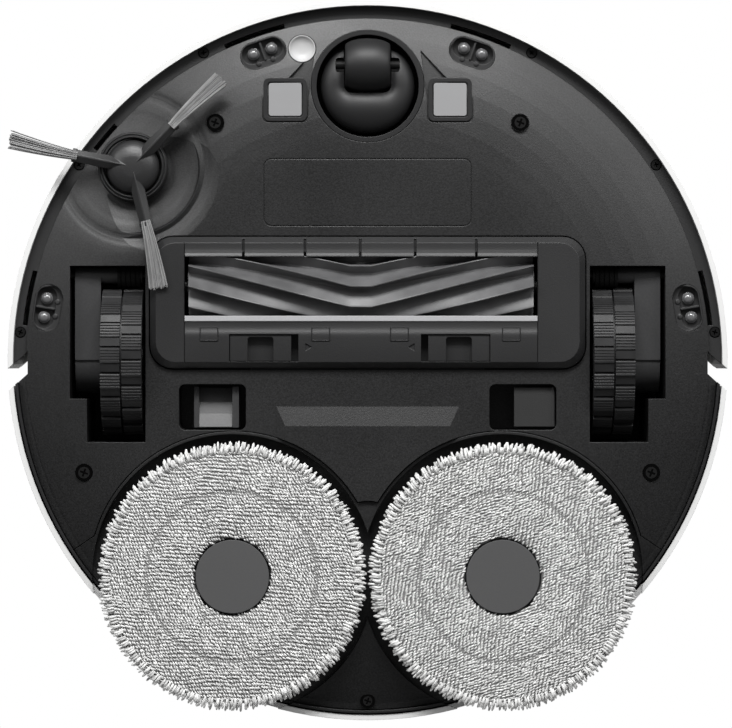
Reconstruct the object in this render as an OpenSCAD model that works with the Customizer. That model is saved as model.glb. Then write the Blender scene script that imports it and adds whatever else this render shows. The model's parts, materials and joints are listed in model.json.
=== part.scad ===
// Round robot vacuum with two spinning mop pads, seen in its own frame:
// the floor is z = 0, the front is -Y, and the origin is the centre of the round body.

/* [Body] */
// Diameter of the round body over the bumper
body_d = 350; // [344:1:370]
// Height of the top deck above the floor
deck_top = 84; // [82:0.5:110]
// Clearance under the flat middle of the body
belly_z = 11; // [9:0.5:12]
// Rise of the underside from its flat middle to its rim
dome_rise = 7; // [5:0.5:8]
// Width of the domed band at the rim of the underside
dome_w = 65; // [50:1:80]
// Wall of the moulded casings
wall = 2.5; // [2:0.1:3]
// Thickness of the top deck
deck_t = 3; // [2:0.1:4]
// Gap between panels that stand next to each other
gap = 0.4; // [0.3:0.1:0.6]

/* [Bumper] */
// Thickness of the white bumper and rear skins
skin_t = 2.5; // [1.6:0.1:3]
// How far the bumper can be pushed in
bumper_travel = 4; // [2:0.5:4]
// Height of the lower edge of the skins
skin_z = 17; // [16:0.5:18.5]
// Width of the dark rail under the bumper
rail_w = 7; // [6:0.5:7]
// Half angle of the dark window in the bumper
window_angle = 14; // [8:1:24]
// Height of the bumper window
window_h = 26; // [16:1:34]

/* [Drive wheels] */
// Diameter of a drive wheel
wheel_d = 74; // [62:1:74]
// Width of the tyre
tyre_w = 20; // [14:0.5:20]
// Distance from the middle plane to the inner face of a tyre
wheel_x = 109.3; // [109:0.1:112]
// Tread blocks in one row
tread_blocks = 18; // [12:1:24]
// Depth of the tread
tread_depth = 2; // [1:0.1:3]
// Width of the gearbox arm beside the wheel
arm_w = 12.6; // [10:0.2:12.6]
// Radius of the arm around the wheel's axle
arm_r = 16; // [12:0.2:16.2]
// Distance from the wheel's axle forward to the arm's pivot
pivot_back = 41.4; // [41:0.1:42]
// Depth of the wheel's axle over the arm's pivot
pivot_drop = 13; // [12:0.5:14]

/* [Main brush] */
// Length of the brush window
window_l = 170.8; // [140:0.1:180]
// Radius of the brush over its fins
brush_r = 20; // [16:0.5:20]
// Radius of the brush core
core_r = 12.5; // [8:0.5:13]
// Fins round the brush
fins = 12; // [6:1:12]
// Turn of a fin from the middle to one end
fin_twist = 60; // [30:5:90]
// Outer length of the brush guard
guard_l = 210.8; // [200:0.2:211]
// Outer width of the brush guard
guard_w = 63.7; // [60:0.1:64]
// Radius of the guard's corners
guard_corner = 11; // [6:0.5:14]
// Height of the guard over the floor
guard_z = 6; // [5.6:0.1:7]
// Travel of a guard latch
latch_travel = 3.2; // [2:0.1:3.2]

/* [Side brush] */
// Radius swept by the bristles
bristle_r = 61; // [50:1:62]
// Radius of the side brush hub
side_hub_r = 14.5; // [12:0.5:16]
// Radius of the dish round the side brush
dish_r = 32.6; // [28:0.2:36]

/* [Caster] */
// Radius of the caster's well
caster_well_r = 24.8; // [24.6:0.1:26]
// Radius of the swivelling dome
caster_dome_r = 22.8; // [22:0.1:23]
// Radius of the caster's roller
roller_r = 13; // [11:0.5:13]
// Width of the caster's roller
roller_w = 22; // [16:0.5:22]
// Distance from the swivel axis to the roller's axle
roller_trail = 10.2; // [6:0.2:10.4]

/* [Mops] */
// Radius of a mop cloth
cloth_r = 65; // [60:0.5:65]
// Thickness of a mop cloth
cloth_t = 7; // [5:0.5:8]
// Distance between the two mop axes
mop_pitch = 130.6; // [130.4:0.1:134]
// Radius of the grey hub under a cloth
mop_hub_r = 17.7; // [14:0.1:20]
// Lift of a mop
mop_lift = 10.5; // [6:0.5:10.5]
// Gap between a mop and the wall of its bay
bay_gap = 3.5; // [2.5:0.5:4]

/* [Top] */
// Length of the lid across the body
lid_l = 170; // [150:1:180]
// Width of the lid from front to back
lid_w = 112; // [100:1:112]
// Radius of the turret that holds the laser
turret_r = 41; // [34:1:41]
// Height of the turret over the deck
turret_h = 19.5; // [16:0.5:24]
// Radius of a button
button_r = 7; // [5:0.5:9]

/* [Dust bin] */
// Length of the dust bin
bin_l = 114; // [90:1:114]
// Width of the dust bin from front to back
bin_w = 54; // [40:1:55]
// Wall of the dust bin
bin_wall = 1.8; // [1.2:0.1:2.4]

/* [Hidden] */
$fn = 96;
eps = 0.01;
bite = 0.4;            // depth to which ribs and bosses are sunk into the floor plate
run = 0.05;           // radial clearance of a shaft that turns in its bore
body_r = body_d / 2;

// Heights
rim_r = body_r - skin_t - bumper_travel - 2.2;
rear_rim_r = body_r - skin_t - 2.5;
dome_start = rim_r - dome_w + 9;
deck_z = deck_top - deck_t;
plate_z = deck_z - wall;
skin_top = deck_z - 0.5;
rail_z = belly_z + dome_rise + 1.5 + wall;
rail_t = 2;
wall_ring_r = rim_r - 5.3;
wall_joint_z = 30;
strip_r = body_r - skin_t - 0.9;
strip_t = 1.3;
strip_z = 15;

// Notches between the bumper and the rear skin
notch_x = body_r - 9.6;
notch_front = -4.3;
notch_back = 6.7;
notch_slope = 0.88;

// Drive wheels and their wells
wheel_r = wheel_d / 2;
wheel_end = wheel_x + tyre_w;
tyre_wall = 8;
hub_r = wheel_r - tyre_wall;
arm_x = wheel_end + 0.6;
arm_end = arm_x + arm_w;
axle_r = 4;
tube_r = 4;
pivot_y = -pivot_back;
pivot_z = wheel_r - pivot_drop;
pivot_pin_r = 1.8;
spring_in = 0.4;
spring_t = 1.5;
spring_l = 11;
well_in = wheel_x - 1.6;
well_out = arm_end + 2.1;
well_front = -45.7;
well_step = arm_r + 2.8;
well_back = wheel_r + 2.9;
well_narrow = wheel_end + 6.9;
well_inner_front = well_front - 2.8;
well_top = wheel_d + 2;
well_wall = 2;
motor_r = 6.4;
motor_l = 36;

// Main brush
brush_x = -3.2;
brush_y = -35.7;
brush_z = brush_r + 1.5;
fin_t = 2.2;
fin_root = 1.2;
fin_mid = 10;
fin_slices = 7;
sleeve_r = core_r / cos(180 / 20 + fin_twist / fin_slices / 2);
pin_r = 4;
tunnel_r = brush_r + 1.8;
tunnel_t = 2.2;
guard_y = -27.85;
guard_top = belly_z + wall;
guard_chamfer = 3;
guard_gap = 0.6;
flange_z = guard_top + 0.1;
flange_t = 2;
bar_y = [-21.4, -18.7];
slit_w = 1.2;
slits = [-60.1, -30.3, -3.6, 23, 52.6];
pads = [-76.7, -22.7, 15.4, 69.5];
pad_size = [8.4, 6.2, 0.3];
pad_y = -12.6;
latch_y = [-12.5, 0.8];
latch_l = 29.7;
latch_left = -66.7;
latch_right = 29.3;
latch_fit = 0.3;
finger_l = 12.5;
hook_y = [-8, -4];

// Side brush
side_x = -113.8;
side_y = -93.6;
side_arms = [191, 313.7, 76.3];
arm_half = 3;
arm_reach = 29.5;
dish_depth = 3.5;
tuft_z = 1.8;
tuft_t = 2.4;

// Front fittings
caster_y = -(body_r - 42);
caster_top = 38;
stem_r = 4;
contact_x = 40;
contact_y = -(body_r - 48.6);
contact_size = 15.9;
frame_size = 22.4;
cliff_r = body_r - 17.4;
cliff_angles = [-80.75, -18.8, 18.8, 80.75];
cliff_l = 23;
cliff_w = 13.5;
slot_l = 17;
slot_w = 6.8;
lens_r = 2.1;
lens_pitch = 7.3;
carpet_angle = -11.9;
carpet_pos_r = body_r - 20.4;
carpet_r = 6.6;
label_box = [-50.5, 50.5, -97.8, -64.8];
pad_half = 44.3;
pad_slope = 4.4;
pad_front = 22.5;
pad_ramp = 9.5;
pad_rise = 2;

// Mops
mop_x = mop_pitch / 2;
mop_y = body_r - 70.5;
bay_r = cloth_r + bay_gap;
bay_t = 1.6;
plate_t = 2.5;
plate_r = cloth_r - 5;
hub_z = 1.5;
bay_z = cloth_t + plate_t + mop_lift + 1;
spindle_r = 6;
mop_motor_r = 20;
mop_motor_z = bay_z + wall + 0.5;
mop_motor_h = 28;
seam_out = [mop_x + 79.5, mop_y - 11];
seam_in = [mop_x + 64.9, mop_y - 20.9];
tip_r = 14;
cover_top = 22.5;

// Vents
vent_in = 59;
vent_out = 91.5;
vent_y = [11.7, 33.9];
vent_corner = 3;
vent_top = 36;
vent_wall = 1.6;
flap_l = 20;
flap_z = belly_z + 3;
flap_t = 1.2;
flap_inset = 1.6;

// Screws
screw_well_r = 4.3;
screw_head_r = 3.8;
screw_r = 1.5;
screw_boss_r = 6.5;
screw_z = 16;
chassis_screw_spots = [[-74, -115.1], [74, -115.1], [-137.7, 54.7], [137.7, 54.7]];
rear_screw_y = body_r - 9.2;
bumper_screw_r = body_r - 5.2;
bumper_screw_angles = [-85.4, -55.9, -28.1, 28.1, 55.9, 85.4];
bumper_head_r = 2.3;

// Top
lid_y = -4;
lid_corner = 12;
turret_y = 95;
cap_t = 4;
rotor_r = 30;
button_x = 16;
button_y = -100;
bin_y = 23;
bin_z = 30;
bin_top = plate_z - 1.5;

black = [0.09, 0.09, 0.095];
dark = [0.14, 0.14, 0.145];
mid = [0.3, 0.3, 0.31];
white = [0.9, 0.9, 0.9];

// Height of the underside at a distance r from the centre
function belly(r) =
  belly_z + (r > dome_start ? dome_rise * pow((r - dome_start) / (rim_r - dome_start), 2) : 0);

// Corner points of a rounded rectangle
function rounded(x0, x1, y0, y1, r, n = 6) = [
  for (c = [[x1 - r, y1 - r, 0], [x0 + r, y1 - r, 90], [x0 + r, y0 + r, 180], [x1 - r, y0 + r, 270]])
    for (i = [0:n]) [c[0] + r * cos(c[2] + 90 * i / n), c[1] + r * sin(c[2] + 90 * i / n)]
];

module rounded_block(x0, x1, y0, y1, r, z0, z1) {
  translate([0, 0, z0]) linear_extrude(z1 - z0) polygon(rounded(x0, x1, y0, y1, r));
}

module block(x0, x1, y0, y1, z0, z1) {
  translate([x0, y0, z0]) cube([x1 - x0, y1 - y0, z1 - z0]);
}

module disc(x, y, r, z0, z1) {
  translate([x, y, z0]) cylinder(r = r, h = z1 - z0);
}

module rod_x(x0, x1, y, z, r) {
  translate([x0, y, z]) rotate([0, 90, 0]) cylinder(r = r, h = x1 - x0);
}

module tube_z(x, y, r_out, r_in, z0, z1) {
  difference() {
    disc(x, y, r_out, z0, z1);
    disc(x, y, r_in, z0 - 1, z1 + 1);
  }
}

// Places its children at a distance r from the centre, at an angle from the front towards +X
module at_rim(angle, r) {
  translate([r * sin(angle), -r * cos(angle), 0]) rotate([0, 0, angle]) children();
}

module both_sides() {
  children();
  mirror([1, 0, 0]) children();
}

module side(name) {
  if (name == "left") mirror([1, 0, 0]) children();
  if (name == "right") children();
}

// Ring of rectangular section round the Z axis
module ring(r0, r1, z0, z1) {
  tube_z(0, 0, r1, r0, z0, z1);
}

// Floor of the casing between its domed underside and a parallel face one wall above it
module floor_plate(edge) {
  steps = 6;
  outer = [for (i = [0:steps]) let (r = dome_start + (edge - dome_start) * i / steps) [r, belly(r)]];
  inner = [for (i = [steps:-1:0]) let (r = dome_start + (edge - dome_start) * i / steps) [r, belly(r) + wall]];
  rotate_extrude() polygon(concat([[0, belly_z]], outer, inner, [[0, belly_z + wall]]));
}

// Everything in front of the notch line, or behind it
module front_side(shift = 0) {
  reach = body_r + 40;
  edge = notch_x - 60;
  translate([0, 0, -10]) linear_extrude(deck_top + 60) polygon([
    [-reach, -reach], [reach, -reach],
    [reach, notch_front + shift + (reach - notch_x) * notch_slope],
    [notch_x, notch_front + shift], [edge, notch_front + shift],
    [-edge, notch_front + shift], [-notch_x, notch_front + shift],
    [-reach, notch_front + shift + (reach - notch_x) * notch_slope]
  ]);
}

module back_side() {
  reach = body_r + 40;
  edge = notch_x - 60;
  translate([0, 0, -10]) linear_extrude(deck_top + 60) polygon([
    [-reach, reach], [reach, reach],
    [reach, notch_back + (reach - notch_x) * notch_slope],
    [notch_x, notch_back], [edge, notch_back], [-edge, notch_back], [-notch_x, notch_back],
    [-reach, notch_back + (reach - notch_x) * notch_slope]
  ]);
}

// Open notch at each side, from below the floor to above the deck
module notches() {
  reach = body_r + 40;
  slope = (reach - notch_x) * notch_slope;
  both_sides() translate([0, 0, -10]) linear_extrude(deck_top + 60) polygon([
    [notch_x, notch_front], [reach, notch_front + slope], [reach, notch_back + slope], [notch_x, notch_back]
  ]);
}

// Space of the two mop bays
module mop_bays(r, z0, z1) {
  for (s = [-1, 1]) disc(s * mop_x, mop_y, r, z0, z1);
}

// Room of the rear bottom cover outside the mop bays, grown by g
module cover_region(g, top) {
  far = body_r + 30;
  run_out = (far - seam_in[0]) * (seam_out[1] - seam_in[1]) / (seam_out[0] - seam_in[0]);
  translate([0, -g, -10]) linear_extrude(top + 10) polygon([
    [far, seam_in[1] + run_out], [far, far], [-far, far], [-far, seam_in[1] + run_out],
    [-seam_in[0], seam_in[1]], [-mop_x - 45, mop_y], [mop_x + 45, mop_y], [seam_in[0], seam_in[1]]
  ]);
  disc(0, mop_y - 22.2, tip_r + g, -10, top);
}

// Outline of a wheel well on the right side, grown by g
module well_outline(g, front) {
  polygon([
    [well_in - g, front - g], [well_out + g, front - g], [well_out + g, well_step + g],
    [well_narrow + g, well_step + g], [well_narrow + g, well_back + g], [well_in - g, well_back + g]
  ]);
}

// Stadium of length l and width w along X
module stadium(l, w, z0, z1) {
  half = l / 2 - w / 2;
  block(-half, half, -w / 2, w / 2, z0, z1);
  for (s = [-1, 1]) disc(s * half, 0, w / 2, z0, z1);
}

// ---------- casing ----------

module screw_boss(x, y) {
  disc(x, y, screw_boss_r, belly_z, wall_joint_z);
}

module screw_hole(x, y) {
  disc(x, y, screw_well_r, belly_z - 2, screw_z + 2);
  disc(x, y, screw_r + 0.1, belly_z - 2, wall_joint_z + 1);
}

// Ramp that leads a charging spring onto the contact
module contact_ramp() {
  translate([contact_x, contact_y, belly(132) - 0.6]) rotate([-3.2, 0, 0]) linear_extrude(6, center = true)
    polygon([[-frame_size / 2, 0], [frame_size / 2 - 3, 0], [-frame_size / 2 - 3, -24]]);
}

module chassis_cuts() {
  both_sides() translate([0, 0, -10]) linear_extrude(well_top + 10) well_outline(0, well_front);
  rounded_block(
    -guard_l / 2 - guard_gap, guard_l / 2 + guard_gap,
    guard_y - guard_w / 2 - guard_gap, guard_y + guard_w / 2 + guard_gap,
    guard_corner + guard_gap, -10, wall_joint_z
  );
  disc(0, caster_y, caster_well_r + wall + 0.2, -10, wall_joint_z + 30);
  for (a = cliff_angles) at_rim(a, cliff_r) stadium(cliff_l, cliff_w, -10, 25);
  at_rim(carpet_angle, carpet_pos_r) disc(0, 0, carpet_r + 0.2, -10, 25);
  both_sides() rounded_block(vent_in, vent_out, vent_y[0], vent_y[1], vent_corner, -10, belly_z + wall + 1);
  for (p = chassis_screw_spots) screw_hole(p[0], p[1]);
  disc(side_x, side_y, 6, -10, 30);
  cover_region(gap / 2, 80);
  mop_bays(bay_r + bay_t + gap / 2, -10, 80);
}

// Dish round the side brush, cut from below
module side_dish() {
  dish_z = belly_z + dish_depth;
  translate([side_x, side_y, 0]) rotate_extrude() polygon([
    [0, -5], [dish_r + 10, -5], [dish_r + 10, belly_z - 0.01], [dish_r + 2, belly_z + 1.2],
    [dish_r, belly_z + 0.4], [dish_r - 1, belly_z + 1.4], [side_hub_r + 4, dish_z], [0, dish_z]
  ]);
}

// Solid from just inside the domed underside up to a height
module floor_volume(top, edge, sink) {
  steps = 6;
  outer = [for (i = [0:steps]) let (r = dome_start + (edge - dome_start) * i / steps) [r, belly(r) + sink]];
  rotate_extrude() polygon(concat([[0, belly_z + sink]], outer, [[edge, top], [0, top]]));
}

// What stands on the floor plate: walls, bosses, pads and the boxes of wells and vents
module chassis_additions() {
  ring(wall_ring_r - wall, wall_ring_r, belly_z, wall_joint_z);
  for (p = chassis_screw_spots) screw_boss(p[0], p[1]);
  disc(side_x, side_y, dish_r + 12, belly_z, belly_z + dish_depth + wall);
  both_sides() {
    rounded_block(
      contact_x - frame_size / 2 - 2, contact_x + frame_size / 2 + 2,
      contact_y - frame_size / 2 - 14, contact_y + frame_size / 2 + 2, 3, belly_z, belly_z + wall + 3.4
    );
    well_box();
    rounded_block(
      vent_in - vent_wall, vent_out + vent_wall, vent_y[0] - vent_wall, vent_y[1] + vent_wall,
      vent_corner + vent_wall, belly_z, vent_top + vent_wall
    );
  }
}

module bottom_chassis() color(dark) {
  difference() {
    union() {
      floor_plate(rim_r);
      intersection() {
        floor_plate(rear_rim_r);
        back_side();
      }
      intersection() {
        floor_volume(well_top + well_wall, rim_r - 0.3, bite);
        chassis_additions();
      }
      middle_pad();
    }
    side_dish();
    chassis_cuts();
    notches();
    both_sides() rounded_block(vent_in, vent_out, vent_y[0], vent_y[1], vent_corner, belly_z, vent_top);
    both_sides() well_space();
    both_sides() rounded_block(
      contact_x - frame_size / 2, contact_x + frame_size / 2,
      contact_y - frame_size / 2, contact_y + frame_size / 2, 3, 0, belly(132) + 0.6
    );
    both_sides() contact_ramp();
    label_groove();
  }
  both_sides() pivot_pin();
}

// Raised pad between the vents, with a ramp at its front and slopes at its sides
module middle_pad() {
  low = belly_z - pad_rise;
  root = 1;
  side_root = pad_half + pad_slope * root / pad_rise;
  front_root = pad_front - pad_ramp * root / pad_rise;
  intersection() {
    rotate([90, 0, 90]) linear_extrude(3 * pad_half, center = true) polygon([
      [front_root, belly_z + root], [pad_front + pad_ramp, low], [mop_y, low], [mop_y, belly_z + root]
    ]);
    rotate([90, 0, 0]) linear_extrude(3 * mop_y, center = true) polygon([
      [-side_root, belly_z + root], [-pad_half + pad_slope, low], [pad_half - pad_slope, low],
      [side_root, belly_z + root]
    ]);
  }
}

// Thin outline of the blank label field
module label_groove() {
  b = label_box;
  line = 0.5;
  difference() {
    rounded_block(b[0], b[1], b[2], b[3], 4, 0, belly_z + 0.3);
    rounded_block(b[0] + line, b[1] - line, b[2] + line, b[3] - line, 4 - line, -1, belly_z + 1);
  }
}

module well_box() {
  translate([0, 0, belly_z]) linear_extrude(well_top + well_wall - belly_z + 1)
    well_outline(well_wall, well_inner_front);
}

module well_space() {
  floor_top = belly(norm([well_out, well_inner_front])) + wall;
  translate([0, 0, floor_top]) linear_extrude(well_top - floor_top) well_outline(0, well_inner_front);
}

// Pin across a wheel well, on which the wheel's arm swings
module pivot_pin() {
  rod_x(well_in - well_wall / 2, well_out + well_wall / 2, pivot_y, pivot_z, pivot_pin_r);
}

module rear_bottom_cover() color(black) difference() {
  intersection() {
    floor_volume(bay_z + wall, rear_rim_r, 0);
    union() {
      cover_region(-gap / 2, cover_top);
      mop_bays(bay_r + bay_t - gap / 2, -10, bay_z + wall + 1);
      disc(0, rear_screw_y, 3.9, 0, bay_z + wall);
    }
  }
  mop_bays(bay_r, -10, bay_z);
  mop_bays(spindle_r + 1, -10, bay_z + wall + 1);
  disc(0, rear_screw_y, 3.1, 0, belly(rear_screw_y) + 2.4);
  disc(0, rear_screw_y, 1.4, 0, bay_z + wall + 1);
}

module inner_frame() color(black) difference() {
  union() {
    ring(wall_ring_r - wall, wall_ring_r, wall_joint_z, plate_z + 0.5);
    disc(0, 0, wall_ring_r, plate_z, deck_z);
    intersection() {
      union() {
        ring(wall_ring_r - 1, strip_r, 38, 40);
        ring(strip_r - strip_t, strip_r, strip_z, 40);
      }
      back_side();
    }
  }
  notches();
  mop_bays(bay_r, -10, bay_z);
  disc(0, caster_y, caster_well_r + wall + 0.2, 0, caster_top + 0.3);
  block(-bin_l / 2 - 1.5, bin_l / 2 + 1.5, bin_y - bin_w / 2 - 1, bin_y + bin_w / 2 + 1, plate_z - 1, deck_z + 1);
  disc(0, turret_y, turret_r + 1, plate_z - 1, deck_z + 1);
  for (s = [-1, 1]) disc(s * button_x, button_y, button_r + 0.3, plate_z - 1, deck_z + 1);
}

module top_shell() color(white) difference() {
  union() {
    difference() {
      disc(0, 0, body_r - 1, deck_z, deck_top);
      notches();
    }
    intersection() {
      ring(body_r - skin_t, body_r, skin_z - 1, deck_top - 1.5);
      back_side();
    }
    intersection() {
      ring(strip_r - strip_t, body_r - 0.8, deck_z - 1, deck_top - 0.7);
      back_side();
    }
  }
  mop_bays(bay_r, -10, bay_z);
  rounded_block(
    -lid_l / 2 - gap, lid_l / 2 + gap, lid_y - lid_w / 2 - gap, lid_y + lid_w / 2 + gap,
    lid_corner + gap, deck_z - 2, deck_top + 1
  );
  disc(0, turret_y, turret_r + 1, deck_z - 2, deck_top + 1);
  for (s = [-1, 1]) disc(s * button_x, button_y, button_r + 0.3, deck_z - 2, deck_top + 1);
}

module top_lid() color(white) difference() {
  rounded_block(
    -lid_l / 2, lid_l / 2, lid_y - lid_w / 2, lid_y + lid_w / 2, lid_corner, deck_z, deck_top
  );
  translate([0, lid_y - lid_w / 2, deck_top + 6]) rod_x(-12, 12, 0, 0, 8);
}

// ---------- dust bin and fan ----------

module dust_bin() color([0.35, 0.37, 0.4]) difference() {
  rounded_block(-bin_l / 2, bin_l / 2, bin_y - bin_w / 2, bin_y + bin_w / 2, 5, bin_z, bin_top);
  rounded_block(
    -bin_l / 2 + bin_wall, bin_l / 2 - bin_wall, bin_y - bin_w / 2 + bin_wall, bin_y + bin_w / 2 - bin_wall,
    5 - bin_wall, bin_z + bin_wall, bin_top + 1
  );
  block(-20, 20, bin_y - bin_w / 2 - 1, bin_y - bin_w / 2 + bin_wall + 1, bin_z + 4, bin_z + 18);
  block(-24, 24, bin_y + bin_w / 2 - bin_wall - 1, bin_y + bin_w / 2 + 1, bin_z + 6, bin_z + 22);
}

module bin_filter() color([0.85, 0.85, 0.82]) {
  back = bin_y + bin_w / 2 - bin_wall;
  block(-bin_l / 2 + 8, bin_l / 2 - 8, back - 9, back, bin_z + bin_wall, bin_z + 30);
}

module fan_housing() color(black) difference() {
  disc(0, fan_y(), 28, 26, 58);
  disc(0, fan_y(), 25, 28, 56);
  disc(0, fan_y(), 12, 55, 60);
  block(-8, 8, fan_y() + 20, fan_y() + 40, 34, 50);
}

function fan_y() = turret_y - 11;

module fan_impeller() color(mid) {
  disc(0, fan_y(), 21, 32, 34);
  disc(0, fan_y(), 4, 32, 52);
  for (i = [0:8]) translate([0, fan_y(), 33]) rotate([0, 0, i * 40])
    translate([3, -0.7, 0]) cube([17, 1.4, 15]);
}

// ---------- laser turret ----------

module lidar_base() color(mid) difference() {
  union() {
    disc(0, turret_y, turret_r, 62, deck_top + 2);
    disc(0, turret_y, turret_r + 4, deck_top, deck_top + 2);
  }
  disc(0, turret_y, turret_r - 3, 65, deck_top + 3);
  for (i = [0:2]) turret_post(i, 0.05);
}

module turret_post(i, g) {
  translate([0, turret_y, 0]) rotate([0, 0, i * 120 + 90]) translate([turret_r - 1.6, 0, 0])
    disc(0, 0, 1.5 + g, deck_top - 4, deck_top + turret_h - cap_t + 0.5);
}

module lidar_rotor() color(black) difference() {
  union() {
    disc(0, turret_y, rotor_r, deck_top - 4, deck_top + turret_h - cap_t - 3);
    disc(0, turret_y, 6, 65.5, deck_top - 3);
  }
  translate([0, turret_y - 20, deck_top + 6]) {
    translate([-12, 0, 0]) rotate([90, 0, 0]) cylinder(r = 4, h = 20);
    translate([10, 0, 0]) rotate([90, 0, 0]) cylinder(r = 4, h = 20);
  }
}

module lidar_cap() color(white) {
  top = deck_top + turret_h;
  translate([0, turret_y, 0]) rotate_extrude() polygon([
    [0, top - cap_t], [turret_r, top - cap_t], [turret_r, top - 1.2], [turret_r - 0.5, top - 0.4],
    [turret_r - 1.4, top], [0, top]
  ]);
  for (i = [0:2]) turret_post(i, 0);
}

module button(x, tone) color(tone) {
  translate([x, button_y, 0]) rotate_extrude() polygon([
    [0, plate_z + 1], [button_r, plate_z + 1], [button_r, deck_top + 0.3], [button_r - 0.6, deck_top + 0.9],
    [0, deck_top + 0.9]
  ]);
}

module power_button() button(-button_x, mid);

module dock_button() button(button_x, mid);

// ---------- bumper ----------

module bumper_skin() color(white) difference() {
  intersection() {
    union() {
      ring(body_r - skin_t, body_r, skin_z, skin_top - 1);
      ring(body_r - skin_t, body_r - 0.6, skin_top - 1.5, skin_top);
    }
    front_side();
  }
  window_sector(0, 0);
}

// Sector of the skin that the window fills, less a joint gap
module window_sector(g, stand) {
  mid_z = (skin_z + skin_top) / 2 + 2;
  intersection() {
    ring(body_r - skin_t + stand, body_r - 0.1 + (stand > 0 ? 0 : 2),
      mid_z - window_h / 2 + g, mid_z + window_h / 2 - g);
    wedge(window_angle - g * 0.3);
  }
}

// Vertical wedge about the front direction
module wedge(half) {
  reach = body_r + 60;
  translate([0, 0, -10]) linear_extrude(deck_top + 60)
    polygon([[0, 0], [-reach * tan(half), -reach], [reach * tan(half), -reach]]);
}

module bumper_window() color([0.03, 0.03, 0.035]) window_sector(0.15, 0.01);

// Slot in the inner edge of the rail, between two angles
module rail_slot(a0, a1) {
  reach = body_r;
  intersection() {
    ring(rim_r - 4, rim_r + 2.6, rail_z - 1, rail_z + rail_t + 1);
    translate([0, 0, rail_z - 2]) linear_extrude(rail_t + 4)
      polygon([[0, 0], [reach * sin(a0), -reach * cos(a0)], [reach * sin(a1), -reach * cos(a1)]]);
  }
}

module bumper_rail() color(dark) difference() {
  union() {
    intersection() {
      ring(body_r - skin_t - rail_w, body_r - skin_t, rail_z, rail_z + rail_t);
      front_side();
    }
    for (a = bumper_screw_angles) at_rim(a, bumper_screw_r) disc(0, 0, 2.6, rail_z + 1, rail_z + 8);
  }
  for (s = [-1, 1]) {
    rail_slot(s * 14, s * 24.5);
    rail_slot(s * 75, s * 84.2);
  }
  rail_slot(-52.3, -47);
  for (a = bumper_screw_angles) at_rim(a, bumper_screw_r) {
    disc(0, 0, bumper_head_r + 0.1, rail_z - 1, rail_z + 1.4);
    disc(0, 0, 1.1, rail_z - 1, rail_z + 9);
  }
}

module cross_slot(z) {
  for (a = [0, 90]) rotate([0, 0, a]) translate([-1.6, -0.35, z - 1]) cube([3.2, 0.7, 2]);
}

module screw(head_r, shank_r, z, head_t, length) {
  difference() {
    union() {
      disc(0, 0, head_r, z, z + head_t);
      disc(0, 0, shank_r, z + head_t - eps, z + length);
    }
    cross_slot(z);
  }
}

module bumper_screws() color(dark) for (a = bumper_screw_angles)
  at_rim(a, bumper_screw_r) screw(bumper_head_r, 1, rail_z + 0.1, 1.3, 7);

module chassis_screws() color(black) {
  for (p = chassis_screw_spots) translate([p[0], p[1], 0]) screw(screw_head_r, screw_r, screw_z, 2, 12);
  translate([0, rear_screw_y, 0]) screw(2.9, 1.3, belly(rear_screw_y) + 0.4, 2, 7);
}

// ---------- side brush ----------

module side_place() {
  translate([side_x, side_y, 0]) children();
}

module side_brush_hub() color(mid) side_place() difference() {
  union() {
    translate([0, 0, 4]) cylinder(r1 = side_hub_r - 2, r2 = side_hub_r, h = 2);
    disc(0, 0, side_hub_r, 6, 11.5);
    disc(0, 0, 4, 11, 20);
    for (a = side_arms) rotate([0, 0, a]) block(5, arm_reach, -arm_half, arm_half, tuft_z + tuft_t, 8);
  }
  disc(0, 0, 3.4, 0, 6);
  disc(0, 0, 1.3, 0, 16);
}

// Flat flared tufts, one at the end of each arm
module side_brush_bristles() color([0.45, 0.45, 0.46]) side_place() for (a = side_arms)
  rotate([0, 0, a]) translate([0, 0, tuft_z]) linear_extrude(tuft_t)
    polygon([[22, -2.2], [bristle_r, -4.6], [bristle_r, 4.6], [22, 2.2]]);

module side_brush_screw() color([0.5, 0.5, 0.5]) side_place() screw(3.2, 1.2, 4.4, 1.5, 10);

module side_brush_motor() color(black) side_place() difference() {
  disc(0, 0, 10.5, belly(norm([side_x, side_y]) + 11) + wall + 0.3, 46);
  disc(0, 0, 4 + run, 10, 22);
}

// ---------- main brush ----------

brush_left = brush_x - window_l / 2;
brush_right = brush_x + window_l / 2;

module brush_core() color(black) {
  rod_x(brush_left + 1.5, brush_right - 1.5, brush_y, brush_z, core_r);
  rod_x(brush_left - 2.4, brush_right + 2.4, brush_y, brush_z, pin_r);
}

// Section of the rubber sleeve with its fins
module fin_section() {
  difference() {
    union() {
      circle(r = core_r + fin_root, $fn = 20);
      for (i = [0:fins - 1]) rotate(i * 360 / fins)
        translate([core_r, -fin_t / 2]) square([brush_r - core_r, fin_t]);
    }
    circle(r = sleeve_r, $fn = 20);
  }
}

module brush_fins() color([0.35, 0.35, 0.36]) translate([brush_x, brush_y, brush_z]) rotate([0, 90, 0]) {
  half = window_l / 2 - 2 - fin_mid / 2;
  translate([0, 0, -fin_mid / 2]) linear_extrude(fin_mid) fin_section();
  translate([0, 0, fin_mid / 2]) linear_extrude(half, twist = -fin_twist, slices = fin_slices) fin_section();
  mirror([0, 0, 1]) translate([0, 0, fin_mid / 2]) linear_extrude(half, twist = -fin_twist, slices = fin_slices)
    fin_section();
}

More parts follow.
